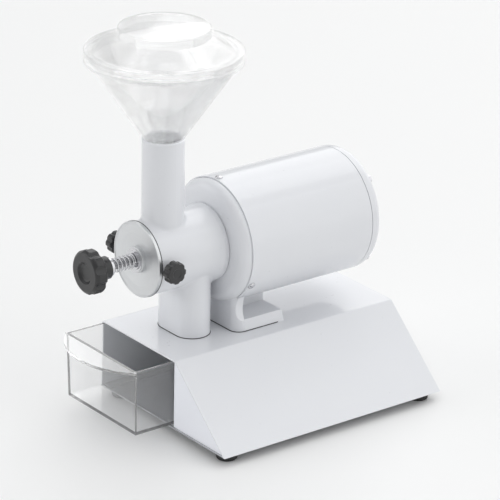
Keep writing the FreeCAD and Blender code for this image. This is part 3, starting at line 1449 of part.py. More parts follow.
def make_wiring():
    # grommet in the base's top sheet
    body = new_body("lead_grommet", "0", "lead_y", SHEET_UNDER)
    sketch = new_sketch(body, "XZ")
    outline(sketch, [
        ("lead_radius", "0 - 2"),
        (f"{GROMMET_RADIUS} + 2", "0 - 2"),
        (f"{GROMMET_RADIUS} + 2", "0"),
        (GROMMET_RADIUS, "0"),
        (GROMMET_RADIUS, "gauge"),
        ("lead_radius", "gauge"),
    ])
    turned(body, "Revolution", sketch, "V_Axis")

    lead_top = "(axis_height - motor_radius + shell_gauge - run_gap)"
    body = new_body("motor_lead", "0", "lead_y", lead_top)
    drop = f"({lead_top} - {PLATE_TOP} - 2 * lead_radius)"
    path = body.newObject("Sketcher::SketchObject", "lead_path")
    path.AttachmentSupport = [(next(item for item in body.Origin.OriginFeatures
                                    if item.Role == "YZ_Plane"), "")]
    path.MapMode = "FlatFace"
    bend = number("3 * lead_radius")
    fall = number(drop)
    run = number("terminal_start - lead_y")
    path.addGeometry([
        Part.LineSegment(FreeCAD.Vector(0, 0, 0), FreeCAD.Vector(0, bend - fall, 0)),
        Part.ArcOfCircle(Part.Circle(FreeCAD.Vector(bend, bend - fall, 0), FreeCAD.Vector(0, 0, 1), bend),
                         math.pi, 1.5 * math.pi),
        Part.LineSegment(FreeCAD.Vector(bend, 0 - fall, 0), FreeCAD.Vector(run, 0 - fall, 0)),
    ])
    tie(path, [
        ("DistanceX", (-1, 1, 0, 1), "0"),
        ("DistanceY", (-1, 1, 0, 1), "0"),
        ("DistanceX", (-1, 1, 0, 2), "0"),
        ("DistanceY", (-1, 1, 0, 2), f"3 * lead_radius - {drop}"),
        ("DistanceX", (-1, 1, 1, 1), "0"),
        ("DistanceY", (-1, 1, 1, 1), f"3 * lead_radius - {drop}"),
        ("DistanceX", (-1, 1, 1, 2), "3 * lead_radius"),
        ("DistanceY", (-1, 1, 1, 2), f"0 - {drop}"),
        ("Radius", (1,), "3 * lead_radius"),
        ("DistanceX", (-1, 1, 2, 1), "3 * lead_radius"),
        ("DistanceY", (-1, 1, 2, 1), f"0 - {drop}"),
        ("DistanceX", (-1, 1, 2, 2), "terminal_start - lead_y"),
        ("DistanceY", (-1, 1, 2, 2), f"0 - {drop}"),
    ])
    sketch = new_sketch(body, "XY")
    disc(sketch, "0", "0", "lead_radius")
    pipe = body.newObject("PartDesign::AdditivePipe", "lead_pipe")
    pipe.Profile = sketch
    pipe.Spine = (path, [])
    doc.recompute()

    body = new_body("terminal_block", "0", "terminal_start", PLATE_TOP)
    sketch = new_sketch(body, "XY")
    rectangle(sketch, "0 - 17", "0", "17", "terminal_length")
    extrude(body, "Pad", sketch, "10")
    sketch = new_sketch(body, "XY", "9")
    rectangle(sketch, "0 - 17", "6", "17", "terminal_length - 6")
    extrude(body, "Pad", sketch, "6")
    sketch = new_sketch(body, "XY", "6")
    for x in ("0 - 11", "0", "11"):
        disc(sketch, x, "3", "2")
        disc(sketch, x, "terminal_length - 3", "2")
    extrude(body, "Pocket", sketch, "5")

    centre = f"({PLATE_TOP} + 1.2 + capacitor_radius)"
    body = new_body("capacitor", "capacitor_x", "foot_plate_rear + 6", centre)
    sketch = new_sketch(body, "YZ")
    outline(sketch, [
        ("0", "0"),
        ("capacitor_length - 2", "0"),
        ("capacitor_length - 2", "capacitor_radius - 5"),
        ("capacitor_length", "capacitor_radius - 5"),
        ("capacitor_length", "capacitor_radius - 1"),
        ("capacitor_length - 1", "capacitor_radius"),
        ("1", "capacitor_radius"),
        ("0", "capacitor_radius - 1"),
    ])
    turned(body, "Revolution", sketch)
    body = new_body("capacitor_clip", "capacitor_x", "foot_plate_rear + capacitor_length / 2", centre)
    sketch = new_sketch(body, "XZ")
    disc(sketch, "0", "0", "capacitor_radius")
    disc(sketch, "0", "0", "capacitor_radius + 1.2")
    extrude(body, "Pad", sketch, "12")
    sketch = new_sketch(body, "XZ")
    foot = "(capacitor_radius + 1.2)"
    outline(sketch, [
        (f"0 - {foot} - 10", f"0 - {foot}"),
        (f"{foot} + 10", f"0 - {foot}"),
        (f"{foot} + 10", f"1.2 - {foot}"),
        (foot, f"1.2 - {foot}"),
        (foot, "0"),
        (f"{foot} - 1.2", "0"),
        (f"{foot} - 1.2", f"1.2 - {foot}"),
        (f"1.2 - {foot}", f"1.2 - {foot}"),
        (f"1.2 - {foot}", "0"),
        (f"0 - {foot}", "0"),
        (f"0 - {foot}", f"1.2 - {foot}"),
        (f"0 - {foot} - 10", f"1.2 - {foot}"),
    ])
    extrude(body, "Pad", sketch, "12")


def make_gland():
    body = new_body("gland_body", "gland_x", PANEL_FACE, "gland_z")
    sketch = new_sketch(body, "YZ")
    outer = "(gland_across / 2)"
    outline(sketch, [
        ("0 - 9", "gland_bore"),
        ("gland_reach", "gland_bore"),
        ("gland_reach", "gland_bore + 1"),
        ("gland_reach - 3", f"{outer} + 0.5"),
        ("5", f"{outer} + 1.5"),
        ("5", f"{outer} + 2.5"),
        ("0", f"{outer} + 2.5"),
        ("0", outer),
        ("0 - 9", outer),
    ])
    turned(body, "Revolution", sketch)
    body = new_body("gland_nut", "gland_x", f"{PANEL_FACE} - gauge - 5", "gland_z")
    sketch = new_sketch(body, "XZ")
    hexagon(sketch, "0", "0", "gland_across + 6")
    disc(sketch, "0", "0", outer)
    extrude(body, "Pad", sketch, "5")


def make_switch():
    body = new_body("switch_body", "switch_x", PANEL_FACE, "switch_z")
    sketch = new_sketch(body, "XZ")
    rectangle(sketch, "0 - switch_width / 2", "0 - switch_height / 2", "switch_width / 2", "switch_height / 2")
    extrude(body, "Pad", sketch, "2")
    sketch = new_sketch(body, "XZ", "0 - 22")
    half_width = "(switch_width / 2 - 1)"
    half_height = "(switch_height / 2 - 1)"
    rectangle(sketch, f"0 - {half_width}", f"0 - {half_height}", half_width, half_height)
    extrude(body, "Pad", sketch, "22.5")
    sketch = new_sketch(body, "XZ", "0 - 12.5")
    rectangle(sketch, f"3 - {half_width}", "0.6 - " + half_height, f"{half_width} - 3", f"{half_height} - 0.6")
    extrude(body, "Pocket", sketch, "16")
    sketch = new_sketch(body, "XZ", "0 - 29")
    for x in ("0 - 7", "7"):
        rectangle(sketch, f"{x} - 3", "0 - 0.4", f"{x} + 3", "0.4")
    extrude(body, "Pad", sketch, "8")

    body = new_body("switch_rocker", "switch_x", f"{PANEL_FACE} - 3", "switch_z", turn=(0, 0, -8))
    sketch = new_sketch(body, "YZ")
    reach = f"({half_height} - 0.9)"
    rise = "6"
    outline(sketch, [
        ("0 - 3", f"0 - sqrt({reach}^2 - 9)"),
        (rise, f"0 - sqrt({reach}^2 - {rise}^2)", reach),
        ("4.6", "0"),
        (rise, f"sqrt({reach}^2 - {rise}^2)"),
        ("0 - 3", f"sqrt({reach}^2 - 9)", reach),
    ])
    rocker = extrude(body, "Pad", sketch, f"2 * ({half_width} - 3.4)")
    rocker.Midplane = True
    doc.recompute()


make_base_cover()
make_bottom_plate()
make_bay_panel()
make_rear_panel()
make_feet()
make_runners()
make_drawer()
finish_grinder_body(make_grinder_body())
make_front_cap()
make_adjuster()
make_clamps()
make_burrs()
make_auger()
make_hopper()
make_lid()
make_motor_bracket()
make_bracket_bolts()
make_motor_shell()
make_rear_cap()
make_stator()
make_rotor()
make_wiring()
make_gland()
make_switch()
doc.recompute()

for piece in doc.Objects:
    if "Invalid" in piece.State or "Error" in piece.State:
        raise RuntimeError(f"{piece.Name} is {piece.State}")
for name, piece in parts.items():
    shape = piece.Shape
    if shape.isNull() or not shape.isValid() or not shape.Solids:
        raise RuntimeError(f"{name} has no valid solid")

os.makedirs("parts", exist_ok=True)
for name, piece in parts.items():
    piece.Shape.exportStep(f"parts/{name}.step")
print(len(parts), "pieces written")
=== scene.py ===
import json
import math

import bmesh
import bpy
from mathutils import Matrix, Vector


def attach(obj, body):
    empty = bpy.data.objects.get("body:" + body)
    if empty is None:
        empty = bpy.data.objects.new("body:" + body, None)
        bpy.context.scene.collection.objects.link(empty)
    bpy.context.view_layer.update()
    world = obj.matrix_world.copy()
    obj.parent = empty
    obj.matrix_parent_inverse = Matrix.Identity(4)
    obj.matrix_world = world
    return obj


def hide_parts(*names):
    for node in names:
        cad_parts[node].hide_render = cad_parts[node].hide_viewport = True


# Electric coffee grinder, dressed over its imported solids. Metres, +Z up, knob and drawer at -Y.
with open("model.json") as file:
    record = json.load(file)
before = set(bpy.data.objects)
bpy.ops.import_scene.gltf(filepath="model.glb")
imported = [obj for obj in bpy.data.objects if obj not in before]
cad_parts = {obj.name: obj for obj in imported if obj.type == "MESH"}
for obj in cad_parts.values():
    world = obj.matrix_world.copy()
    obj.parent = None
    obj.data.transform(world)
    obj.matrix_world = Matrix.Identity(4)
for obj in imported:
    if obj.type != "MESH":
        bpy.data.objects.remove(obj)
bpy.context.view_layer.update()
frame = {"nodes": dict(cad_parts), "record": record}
nodes = frame["nodes"]
print("solids loaded:", len(nodes))

# the frame's origin, measured in metres from the shaft's plane and the base's front face
originShift = {"x": 0.03625, "y": 0.11675}
perMetre = 1000  # the dictionaries of the pieces are in millimetres
axisHeight = 185.5  # of the shaft above the floor, in millimetres


def spot(x, y, z):
    # a place in millimetres from the shaft's upright plane, the base's front face and the floor
    return Vector((x / perMetre - originShift["x"], y / perMetre - originShift["y"], z / perMetre))


# lays a piece turned about Z along the shaft, with its heights running back from the front face
shaftTurn = Matrix.Translation(spot(0, 0, axisHeight)) @ Matrix.Rotation(-math.pi / 2, 4, "X")

# camera: angles in degrees, its place in millimetres along its own axes
cameraFit = {
    "azimuth": 52.1, "elevation": 22.1, "roll": 1.2,
    "right": 123.1, "up": 181.5, "back": 3492.7,
    "focalPixels": 3191.8, "framePixels": 500, "sensorWidth": 36.0, "clipEnd": 100,
}


def makeCamera():
    around = math.radians(cameraFit["azimuth"])
    lift = math.radians(cameraFit["elevation"])
    roll = math.radians(cameraFit["roll"])
    reach = math.cos(lift)
    back = Vector((math.sin(around) * reach, -math.cos(around) * reach, math.sin(lift)))
    level = Vector((math.cos(around), math.sin(around), 0))
    upright = back.cross(level)
    right = level * math.cos(roll) + upright * math.sin(roll)
    up = upright * math.cos(roll) - level * math.sin(roll)
    place = right * cameraFit["right"] + up * cameraFit["up"] + back * cameraFit["back"]
    data = bpy.data.cameras.new("camera")
    data.sensor_width = cameraFit["sensorWidth"]
    data.lens = cameraFit["focalPixels"] / cameraFit["framePixels"] * cameraFit["sensorWidth"]
    data.clip_end = cameraFit["clipEnd"]
    camera = bpy.data.objects.new("camera", data)
    bpy.context.scene.collection.objects.link(camera)
    facing = Matrix((right, up, back)).transposed().to_4x4()
    camera.matrix_world = Matrix.Translation(spot(*place)) @ facing
    bpy.context.scene.camera = camera


makeCamera()
print("camera placed")

# room: a pale floor, an even sky, broad soft lamps and one low spot on the drawer
room = {
    "floorHalf": 12.0, "floorColour": (0.90, 0.90, 0.895), "floorRoughness": 0.5,
    "worldColour": (0.98, 0.99, 1.0), "worldStrength": 0.53,
    "suns": [
        {"name": "skyPanel", "towards": (0.0, 0.10, 0.99), "spread": 80, "strength": 0.62},
        {"name": "backPanel", "towards": (-0.34, 0.74, 0.57), "spread": 62, "strength": 0.92},
        {"name": "rightPanel", "towards": (0.70, 0.55, 0.40), "spread": 60, "strength": 0.58},
        {"name": "frontPanel", "towards": (-0.62, -0.75, 0.26), "spread": 50, "strength": 0.50},
    ],
    "lowLamp": {"place": (-0.30, -1.10, 0.34), "aim": (-0.02, -0.14, 0.03), "cone": 25,
                "edgeBlend": 1, "radius": 0.12, "power": 6.5},
}


def newMaterial(name):
    material = bpy.data.materials.new(name)
    material.use_nodes = True
    tree = material.node_tree
    return material, tree, tree.nodes["Principled BSDF"]


def makeFloor():
    mesh = bpy.data.meshes.new("floor")
    half = room["floorHalf"]
    corners = [(-half, -half, 0), (half, -half, 0), (half, half, 0), (-half, half, 0)]
    mesh.from_pydata(corners, [], [(0, 1, 2, 3)])
    floor = bpy.data.objects.new("floor", mesh)
    bpy.context.scene.collection.objects.link(floor)
    material, tree, shader = newMaterial("paleFloor")
    shader.inputs["Base Color"].default_value = (*room["floorColour"], 1)
    shader.inputs["Roughness"].default_value = room["floorRoughness"]
    mesh.materials.append(material)


def makeSky():
    world = bpy.data.worlds.new("studio")
    world.use_nodes = True
    sky = world.node_tree.nodes["Background"]
    sky.inputs["Color"].default_value = (*room["worldColour"], 1)
    sky.inputs["Strength"].default_value = room["worldStrength"]
    bpy.context.scene.world = world


def newLamp(data, towards):
    # towards points from the lit piece to the lamp
    lamp = bpy.data.objects.new(data.name, data)
    lamp.rotation_mode = "QUATERNION"
    lamp.rotation_quaternion = Vector(towards).to_track_quat("Z", "Y")
    bpy.context.scene.collection.objects.link(lamp)
    return lamp


def makeLamps():
    for light in room["suns"]:
        data = bpy.data.lights.new(light["name"], "SUN")
        data.angle = math.radians(light["spread"])
        data.energy = light["strength"]
        newLamp(data, light["towards"])
    low = room["lowLamp"]
    data = bpy.data.lights.new("lowLamp", "SPOT")
    data.spot_size = math.radians(low["cone"])
    data.spot_blend = low["edgeBlend"]
    data.shadow_soft_size = low["radius"]
    data.energy = low["power"]
    lamp = newLamp(data, Vector(low["place"]) - Vector(low["aim"]))
    lamp.location = low["place"]
    lamp.visible_camera = False
    lamp.visible_glossy = False


makeFloor()
makeSky()
makeLamps()
bpy.context.scene.view_settings.view_transform = "Standard"
bpy.context.scene.view_settings.look = "None"
print("room lit")

# finishes: colour and shade meet in soft patches, grain is the scale of the fine noise
finishes = {
    "whiteEnamel": {"colour": (0.80, 0.81, 0.835), "shade": (0.78, 0.79, 0.82), "grain": 240,
                    "rough": (0.26, 0.31), "bump": 0.006, "coat": 0.6},
    # the bay's enamel is a lighter, bluer copy of the white enamel: its extra lightness is painted light
    # for the dim bay inside the base, and its blue tint is painted cool shade
    "bayEnamel": {"colour": (0.86, 0.873, 0.922), "shade": (0.85, 0.863, 0.912), "grain": 240,
                  "rough": (0.30, 0.36), "bump": 0.006, "coat": 0.3},
    "blackPhenolic": {"colour": (0.016, 0.016, 0.017), "shade": (0.025, 0.025, 0.026), "grain": 700,
                      "rough": (0.24, 0.40), "bump": 0.06, "coat": 0.15},
    "greyPlastic": {"colour": (0.32, 0.32, 0.33), "shade": (0.26, 0.26, 0.27), "grain": 1200,
                    "rough": (0.45, 0.6), "bump": 0.06, "coat": 0.0},
    "footRubber": {"colour": (0.02, 0.02, 0.02), "shade": (0.035, 0.035, 0.035), "grain": 900,
                   "rough": (0.6, 0.8), "bump": 0.1, "coat": 0.0},
}
metals = {
    "brightSteel": {"colour": (0.72, 0.72, 0.74), "grain": 300, "rough": (0.10, 0.20), "bump": 0.02},
    "groundSteel": {"colour": (0.5, 0.5, 0.51), "grain": 500, "rough": (0.28, 0.42), "bump": 0.06},
    "zincSheet": {"colour": (0.6, 0.61, 0.63), "grain": 120, "rough": (0.3, 0.45), "bump": 0.04},
    "bronze": {"colour": (0.55, 0.36, 0.17), "grain": 400, "rough": (0.25, 0.4), "bump": 0.04},
    "copperWire": {"colour": (0.55, 0.22, 0.08), "grain": 1500, "rough": (0.3, 0.4), "bump": 0.2},
    "castAlloy": {"colour": (0.66, 0.67, 0.68), "grain": 600, "rough": (0.35, 0.5), "bump": 0.08},
}
surface = {"grainDetail": 3, "bumpDepth": 0.0002, "patchScale": 14, "patchDetail": 2,
           "coatRoughness": 0.05, "metalShade": 0.82}


def addNoise(tree, place, scale, detail):
    noise = tree.nodes.new("ShaderNodeTexNoise")
    noise.inputs["Scale"].default_value = scale
    noise.inputs["Detail"].default_value = detail
    tree.links.new(place.outputs["Object"], noise.inputs["Vector"])
    return noise.outputs["Fac"]


def roughenBy(tree, shader, pattern, finish):
    # the pattern drives the roughness and a slight bump
    make = tree.nodes.new
    link = tree.links.new
    spread = make("ShaderNodeMapRange")
    spread.inputs["To Min"].default_value = finish["rough"][0]
    spread.inputs["To Max"].default_value = finish["rough"][1]
    link(pattern, spread.inputs["Value"])
    link(spread.outputs["Result"], shader.inputs["Roughness"])
    bump = make("ShaderNodeBump")
    bump.inputs["Strength"].default_value = finish["bump"]
    bump.inputs["Distance"].default_value = surface["bumpDepth"]
    link(pattern, bump.inputs["Height"])
    link(bump.outputs["Normal"], shader.inputs["Normal"])


def tintBy(tree, shader, pattern, colour, shade):
    tint = tree.nodes.new("ShaderNodeMix")
    tint.data_type = "RGBA"
    tint.inputs["A"].default_value = (*colour, 1)
    tint.inputs["B"].default_value = (*shade, 1)
    tree.links.new(pattern, tint.inputs["Factor"])
    tree.links.new(tint.outputs["Result"], shader.inputs["Base Color"])


def makePaint(name):
    finish = finishes[name]
    material, tree, shader = newMaterial(name)
    place = tree.nodes.new("ShaderNodeTexCoord")
    grain = addNoise(tree, place, finish["grain"], surface["grainDetail"])
    roughenBy(tree, shader, grain, finish)
    patches = addNoise(tree, place, surface["patchScale"], surface["patchDetail"])
    tintBy(tree, shader, patches, finish["colour"], finish["shade"])
    shader.inputs["Coat Weight"].default_value = finish["coat"]
    shader.inputs["Coat Roughness"].default_value = surface["coatRoughness"]
    return material


def makeMetal(name):
    finish = metals[name]
    material, tree, shader = newMaterial(name)
    place = tree.nodes.new("ShaderNodeTexCoord")
    grain = addNoise(tree, place, finish["grain"], surface["grainDetail"])
    roughenBy(tree, shader, grain, finish)
    shade = [value * surface["metalShade"] for value in finish["colour"]]
    tintBy(tree, shader, grain, finish["colour"], shade)
    shader.inputs["Metallic"].default_value = 1
    return material


turnedAlloy = {"colour": (0.72, 0.73, 0.74), "shade": (0.68, 0.69, 0.70), "rings": 900,
               "ringDetail": 2, "rough": (0.38, 0.46), "bump": 0.03, "centre": spot(0, 0, axisHeight)}


def makeTurnedAlloy():
    # tool marks in fine rings about the shaft
    material, tree, shader = newMaterial("turnedAlloy")
    make = tree.nodes.new
    link = tree.links.new
    place = make("ShaderNodeTexCoord")
    centred = make("ShaderNodeVectorMath")
    centred.operation = "SUBTRACT"
    centred.inputs[1].default_value = turnedAlloy["centre"]
    flat = make("ShaderNodeVectorMath")
    flat.operation = "MULTIPLY"
    flat.inputs[1].default_value = (1, 0, 1)  # drops the distance along the shaft
    reach = make("ShaderNodeVectorMath")
    reach.operation = "LENGTH"
    rings = make("ShaderNodeTexNoise")
    rings.noise_dimensions = "1D"
    rings.inputs["Scale"].default_value = turnedAlloy["rings"]
    rings.inputs["Detail"].default_value = turnedAlloy["ringDetail"]
    link(place.outputs["Object"], centred.inputs[0])
    link(centred.outputs["Vector"], flat.inputs[0])
    link(flat.outputs["Vector"], reach.inputs[0])
    link(reach.outputs["Value"], rings.inputs["W"])
    roughenBy(tree, shader, rings.outputs["Fac"], turnedAlloy)
    tintBy(tree, shader, rings.outputs["Fac"], turnedAlloy["colour"], turnedAlloy["shade"])
    shader.inputs["Metallic"].default_value = 1
    return material


clearPlastics = {
    "clearPlastic": {"colour": (0.997, 0.998, 0.999), "ior": 1.45, "grain": 60, "grainDetail": 1,
                     "rough": (0.01, 0.035), "bump": 0.01, "shadow": (0.99, 0.992, 0.994),
                     "cover": 0.42, "gloss": 0.35, "clarity": 1.0},
    "drawerPlastic": {"colour": (0.997, 0.998, 0.999), "ior": 1.45, "grain": 60, "grainDetail": 1,
                      "rough": (0.01, 0.03), "bump": 0.01, "shadow": (0.992, 0.994, 0.996),
                      "cover": 0.95, "gloss": 0.6, "clarity": 0.95},
}


def makeClearPlastic(name):
    finish = clearPlastics[name]
    material, tree, shader = newMaterial(name)
    make = tree.nodes.new
    link = tree.links.new
    place = make("ShaderNodeTexCoord")
    roughenBy(tree, shader, addNoise(tree, place, finish["grain"], finish["grainDetail"]), finish)
    shader.inputs["Base Color"].default_value = (*finish["colour"], 1)
    shader.inputs["Transmission Weight"].default_value = finish["clarity"]
    shader.inputs["IOR"].default_value = finish["ior"]
    shader.inputs["Alpha"].default_value = finish["cover"]
    shader.inputs["Specular IOR Level"].default_value = finish["gloss"]
    # light from the lamps and from white surfaces goes through it
    path = make("ShaderNodeLightPath")
    either = make("ShaderNodeMath")
    either.operation = "MAXIMUM"
    through = make("ShaderNodeBsdfTransparent")
    through.inputs["Color"].default_value = (*finish["shadow"], 1)
    both = make("ShaderNodeMixShader")
    link(path.outputs["Is Shadow Ray"], either.inputs[0])
    link(path.outputs["Is Diffuse Ray"], either.inputs[1])
    link(either.outputs["Value"], both.inputs["Fac"])
    link(shader.outputs["BSDF"], both.inputs[1])
    link(through.outputs["BSDF"], both.inputs[2])
    link(both.outputs["Shader"], tree.nodes["Material Output"].inputs["Surface"])
    return material


looks = {name: makePaint(name) for name in finishes}
looks.update({name: makeMetal(name) for name in metals})
looks.update({name: makeClearPlastic(name) for name in clearPlastics})
looks["turnedAlloy"] = makeTurnedAlloy()

# the finish that each material slot in the record wears
slotLooks = {
    "white_enamel": "whiteEnamel", "clear_plastic": "clearPlastic", "black_plastic": "blackPhenolic",
    "grey_plastic": "greyPlastic", "bright_steel": "brightSteel", "ground_steel": "groundSteel",
    "zinc_sheet": "zincSheet", "rubber": "footRubber", "bronze": "bronze",
    "copper_wire": "copperWire", "cast_alloy": "castAlloy", "turned_alloy": "turnedAlloy",
}


def dress(name, look):
    for slot in nodes[name].material_slots:
        slot.material = look


for part in frame["record"]["subparts"]:
    dress(part["node"], looks[slotLooks[part["material_slot"]]])
dress("drawer", looks["drawerPlastic"])
# the bay panel wears the lighter, bluer enamel: painted light and a painted shade tint for the dim bay
dress("drawer_bay_panel", looks["bayEnamel"])
print("finishes on the solids")


def newTree(name, sizes):
    # a geometry nodes tree with a number input for each size
    tree = bpy.data.node_groups.new(name, "GeometryNodeTree")
    tree.interface.new_socket("Geometry", in_out="OUTPUT", socket_type="NodeSocketGeometry")
    for label, value in sizes.items():
        kind = "NodeSocketInt" if isinstance(value, int) else "NodeSocketFloat"
        tree.interface.new_socket(label, in_out="INPUT", socket_type=kind)
    return tree, tree.nodes.new("NodeGroupInput"), tree.nodes.new("NodeGroupOutput")


def shiftTo(tree, source, prefix, geometry, turn=(0, 0, 0)):
    # moves the geometry by the inputs named with the prefix and X, Y, Z
    place = tree.nodes.new("ShaderNodeCombineXYZ")
    for letter in "XYZ":
        tree.links.new(source.outputs[prefix + letter], place.inputs[letter])
    shift = tree.nodes.new("GeometryNodeTransform")
    shift.inputs["Rotation"].default_value = turn
    tree.links.new(geometry, shift.inputs["Geometry"])
    tree.links.new(place.outputs["Vector"], shift.inputs["Translation"])
    return shift.outputs["Geometry"]


def finishTree(tree, output, geometry, look):
    # ends a tree in Realize Instances and Set Material
    plain = tree.nodes.new("GeometryNodeRealizeInstances")
    paint = tree.nodes.new("GeometryNodeSetMaterial")
    paint.inputs["Material"].default_value = look
    tree.links.new(geometry, plain.inputs["Geometry"])
    tree.links.new(plain.outputs["Geometry"], paint.inputs["Geometry"])
    tree.links.new(paint.outputs["Geometry"], output.inputs["Geometry"])


def grow(name, tree, sizes, look, body, originals=()):
    # runs the tree on an empty mesh, and keeps the result as one plain mesh on a body
    piece = bpy.data.objects.new(name, bpy.data.meshes.new(name))
    bpy.context.scene.collection.objects.link(piece)
    modifier = piece.modifiers.new("shape", "NODES")
    modifier.node_group = tree
    sockets = [item for item in tree.interface.items_tree if item.in_out == "INPUT"]
    identifiers = {socket.name: socket.identifier for socket in sockets}
    for label, value in sizes.items():
        modifier[identifiers[label]] = value
    bpy.context.view_layer.update()
    shaped = piece.evaluated_get(bpy.context.evaluated_depsgraph_get())
    mesh = bpy.data.meshes.new_from_object(shaped)
    piece.modifiers.remove(modifier)
    piece.data = mesh
    mesh.name = name
    mesh.materials.clear()
    mesh.materials.append(look)
    for original in originals:
        bpy.data.objects.remove(original)
    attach(piece, body)
    return piece


turning = {"cornerSteps": 5, "sharpAngle": 30}  # for every turned piece


def inMetres(profile):
    return [(radius / perMetre, height / perMetre) for radius, height in profile]


def rounded(centre, radius, start, end):
    # points on a quarter turn, angles in degrees
    count = turning["cornerSteps"]
    angles = [math.radians(start + (end - start) * step / count) for step in range(count + 1)]
    return [(centre[0] + radius * math.cos(angle), centre[1] + radius * math.sin(angle))
            for angle in angles]


def lathe(name, profile, steps):
    # a closed solid turned about Z; profile is radius and height pairs, and one off the axis is a ring
    shape = bmesh.new()
    angles = [2 * math.pi * step / steps for step in range(steps)]
    rows = []
    for radius, height in profile:
        if radius == 0:
            rows.append([shape.verts.new((0, 0, height))])
        else:
            rows.append([shape.verts.new((radius * math.cos(angle), radius * math.sin(angle), height))
                         for angle in angles])
    if profile[0][0] > 0:
        rows.append(rows[0])
    for lower, upper in zip(rows, rows[1:]):
        for step in range(steps):
            following = (step + 1) % steps
            corners = [lower[step % len(lower)], lower[following % len(lower)],
                       upper[following % len(upper)], upper[step % len(upper)]]
            shape.faces.new(list(dict.fromkeys(corners)))
    bmesh.ops.recalc_face_normals(shape, faces=shape.faces)
    mesh = bpy.data.meshes.new(name)
    shape.to_mesh(mesh)
    shape.free()
    for face in mesh.polygons:
        face.use_smooth = True
    mesh.set_sharp_from_angle(angle=math.radians(turning["sharpAngle"]))
    return mesh


def newPiece(name, mesh, look):
    mesh.materials.append(look)
    piece = bpy.data.objects.new(name, mesh)
    bpy.context.scene.collection.objects.link(piece)
    return piece


# the clear funnel and its lid; heights from the floor
funnel = {"centreY": 31.5, "spoutFoot": 294.0, "seat": 318.0, "spoutRadius": 18.5, "throatRadius": 22.5,
          "coneRadius": 81.5, "rimRadius": 85.5, "rimFoot": 404.5, "rimTop": 410.7, "rimRounding": 0.6,
          "rimFloor": 3.0, "innerRise": 4.0, "spoutRise": 0.5, "wall": 2.0, "lip": 3.5, "steps": 144}
lid = {"foot": 411.0, "brimTop": 417.0, "brimRadius": 85.5, "brimInner": 72.0, "brimRounding": 1.0,
       "ringRadius": 78.5, "ringDepth": 6.0, "cupRadius": 49.7, "cupFoot": 431.0, "cupRise": 0.6,
       "cupRounding": 1.5, "slopeInset": 1.0, "top": 442.0, "wall": 2.0, "steps": 144}


def makeClearPart(name, profile, steps, body, node):
    mesh = lathe(name, inMetres(profile), steps)
    mesh.transform(Matrix.Translation(spot(0, funnel["centreY"], 0)))
    piece = newPiece(name, mesh, looks["clearPlastic"])
    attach(piece, body)
    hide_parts(node)


def makeFunnel():
    wall = funnel["wall"]
    seat = funnel["seat"]
    rise = (funnel["coneRadius"] - funnel["throatRadius"]) / (funnel["rimFoot"] - seat)
    across = wall * math.sqrt(1 + rise * rise)
    rounding = funnel["rimRounding"]
    rimCorner = (funnel["rimRadius"] - rounding, funnel["rimFoot"] + rounding)
    innerFoot = funnel["throatRadius"] - across + funnel["innerRise"] * rise
    profile = [
        (funnel["spoutRadius"] - wall, funnel["spoutFoot"]),
        (funnel["spoutRadius"], funnel["spoutFoot"]),
        (funnel["spoutRadius"], seat),
        (funnel["throatRadius"], seat),
        (funnel["coneRadius"], funnel["rimFoot"]),
        *rounded(rimCorner, rounding, -90, 0),
        (funnel["rimRadius"], funnel["rimTop"]),
        (funnel["rimRadius"] - funnel["lip"], funnel["rimTop"]),
        (funnel["rimRadius"] - funnel["lip"], funnel["rimFoot"] + funnel["rimFloor"]),
        (funnel["coneRadius"] - across, funnel["rimFoot"]),
        (innerFoot, seat + funnel["innerRise"]),
        (funnel["spoutRadius"] - wall, seat + funnel["spoutRise"]),
    ]
    makeClearPart("clearFunnel", profile, funnel["steps"], "hopper_unit", "hopper")


def makeLid():
    wall = lid["wall"]
    brimFloor = lid["brimTop"] - wall
    ringFoot = lid["foot"] - lid["ringDepth"]
    brimCorner = (lid["brimRadius"] - lid["brimRounding"], lid["brimTop"] - lid["brimRounding"])
    cupCorner = (lid["cupRadius"] - lid["cupRounding"], lid["top"] - lid["cupRounding"])
    profile = [
        (0, lid["top"] - wall),
        (lid["cupRadius"] - wall, lid["top"] - wall),
        (lid["cupRadius"] - wall, lid["cupFoot"]),
        (lid["brimInner"] - lid["slopeInset"], brimFloor),
        (lid["ringRadius"] - wall, brimFloor),
        (lid["ringRadius"] - wall, ringFoot),
        (lid["ringRadius"], ringFoot),
        (lid["ringRadius"], brimFloor),
        (lid["brimRadius"] - wall, brimFloor),
        (lid["brimRadius"] - wall, lid["foot"]),
        (lid["brimRadius"], lid["foot"]),
        *rounded(brimCorner, lid["brimRounding"], 0, 90),
        (lid["brimInner"], lid["brimTop"]),
        (lid["cupRadius"], lid["cupFoot"] + lid["cupRise"]),
        *rounded(cupCorner, lid["cupRounding"], 0, 90),
        (0, lid["top"]),
    ]
    makeClearPart("clearLid", profile, lid["steps"], "lid", "hopper_lid")


makeFunnel()
makeLid()
print("funnel and lid turned")

# the seal behind the front cap, a little proud of it all round
capSeal = {"front": 1.0, "back": 1.95, "innerRadius": 39.0, "outerRadius": 42.3, "rounding": 0.3,
           "steps": 120}


def makeCapSeal():
    rounding = capSeal["rounding"]
    outer = capSeal["outerRadius"] - rounding
    profile = [
        (capSeal["innerRadius"], capSeal["front"]),
        *rounded((outer, capSeal["front"] + rounding), rounding, -90, 0),
        *rounded((outer, capSeal["back"] - rounding), rounding, 0, 90),
        (capSeal["innerRadius"], capSeal["back"]),
    ]
    mesh = lathe("capSeal", inMetres(profile), capSeal["steps"])
    mesh.transform(shaftTurn)
    piece = newPiece("capSeal", mesh, looks["footRubber"])
    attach(piece, "machine")
    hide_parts("cap_gasket")


makeCapSeal()
print("cap seal set")

# screws round the motor shell's front edge; slotTurn in radians, the dome from the edge share up
shellScrew = {"count": 3, "shellRadius": 70.4, "sink": 0.2, "station": 106.5, "headRadius": 4.2,
              "headHeight": 2.4, "edgeShare": 0.45, "domeSteps": 7, "domeCurve": 0.8, "slotLength": 12.6,
              "slotWidth": 1.3, "slotDepth": 1.4, "slotTurn": 0.6, "shankRadius": 2.0,
              "shankLength": 9.0, "steps": 40}


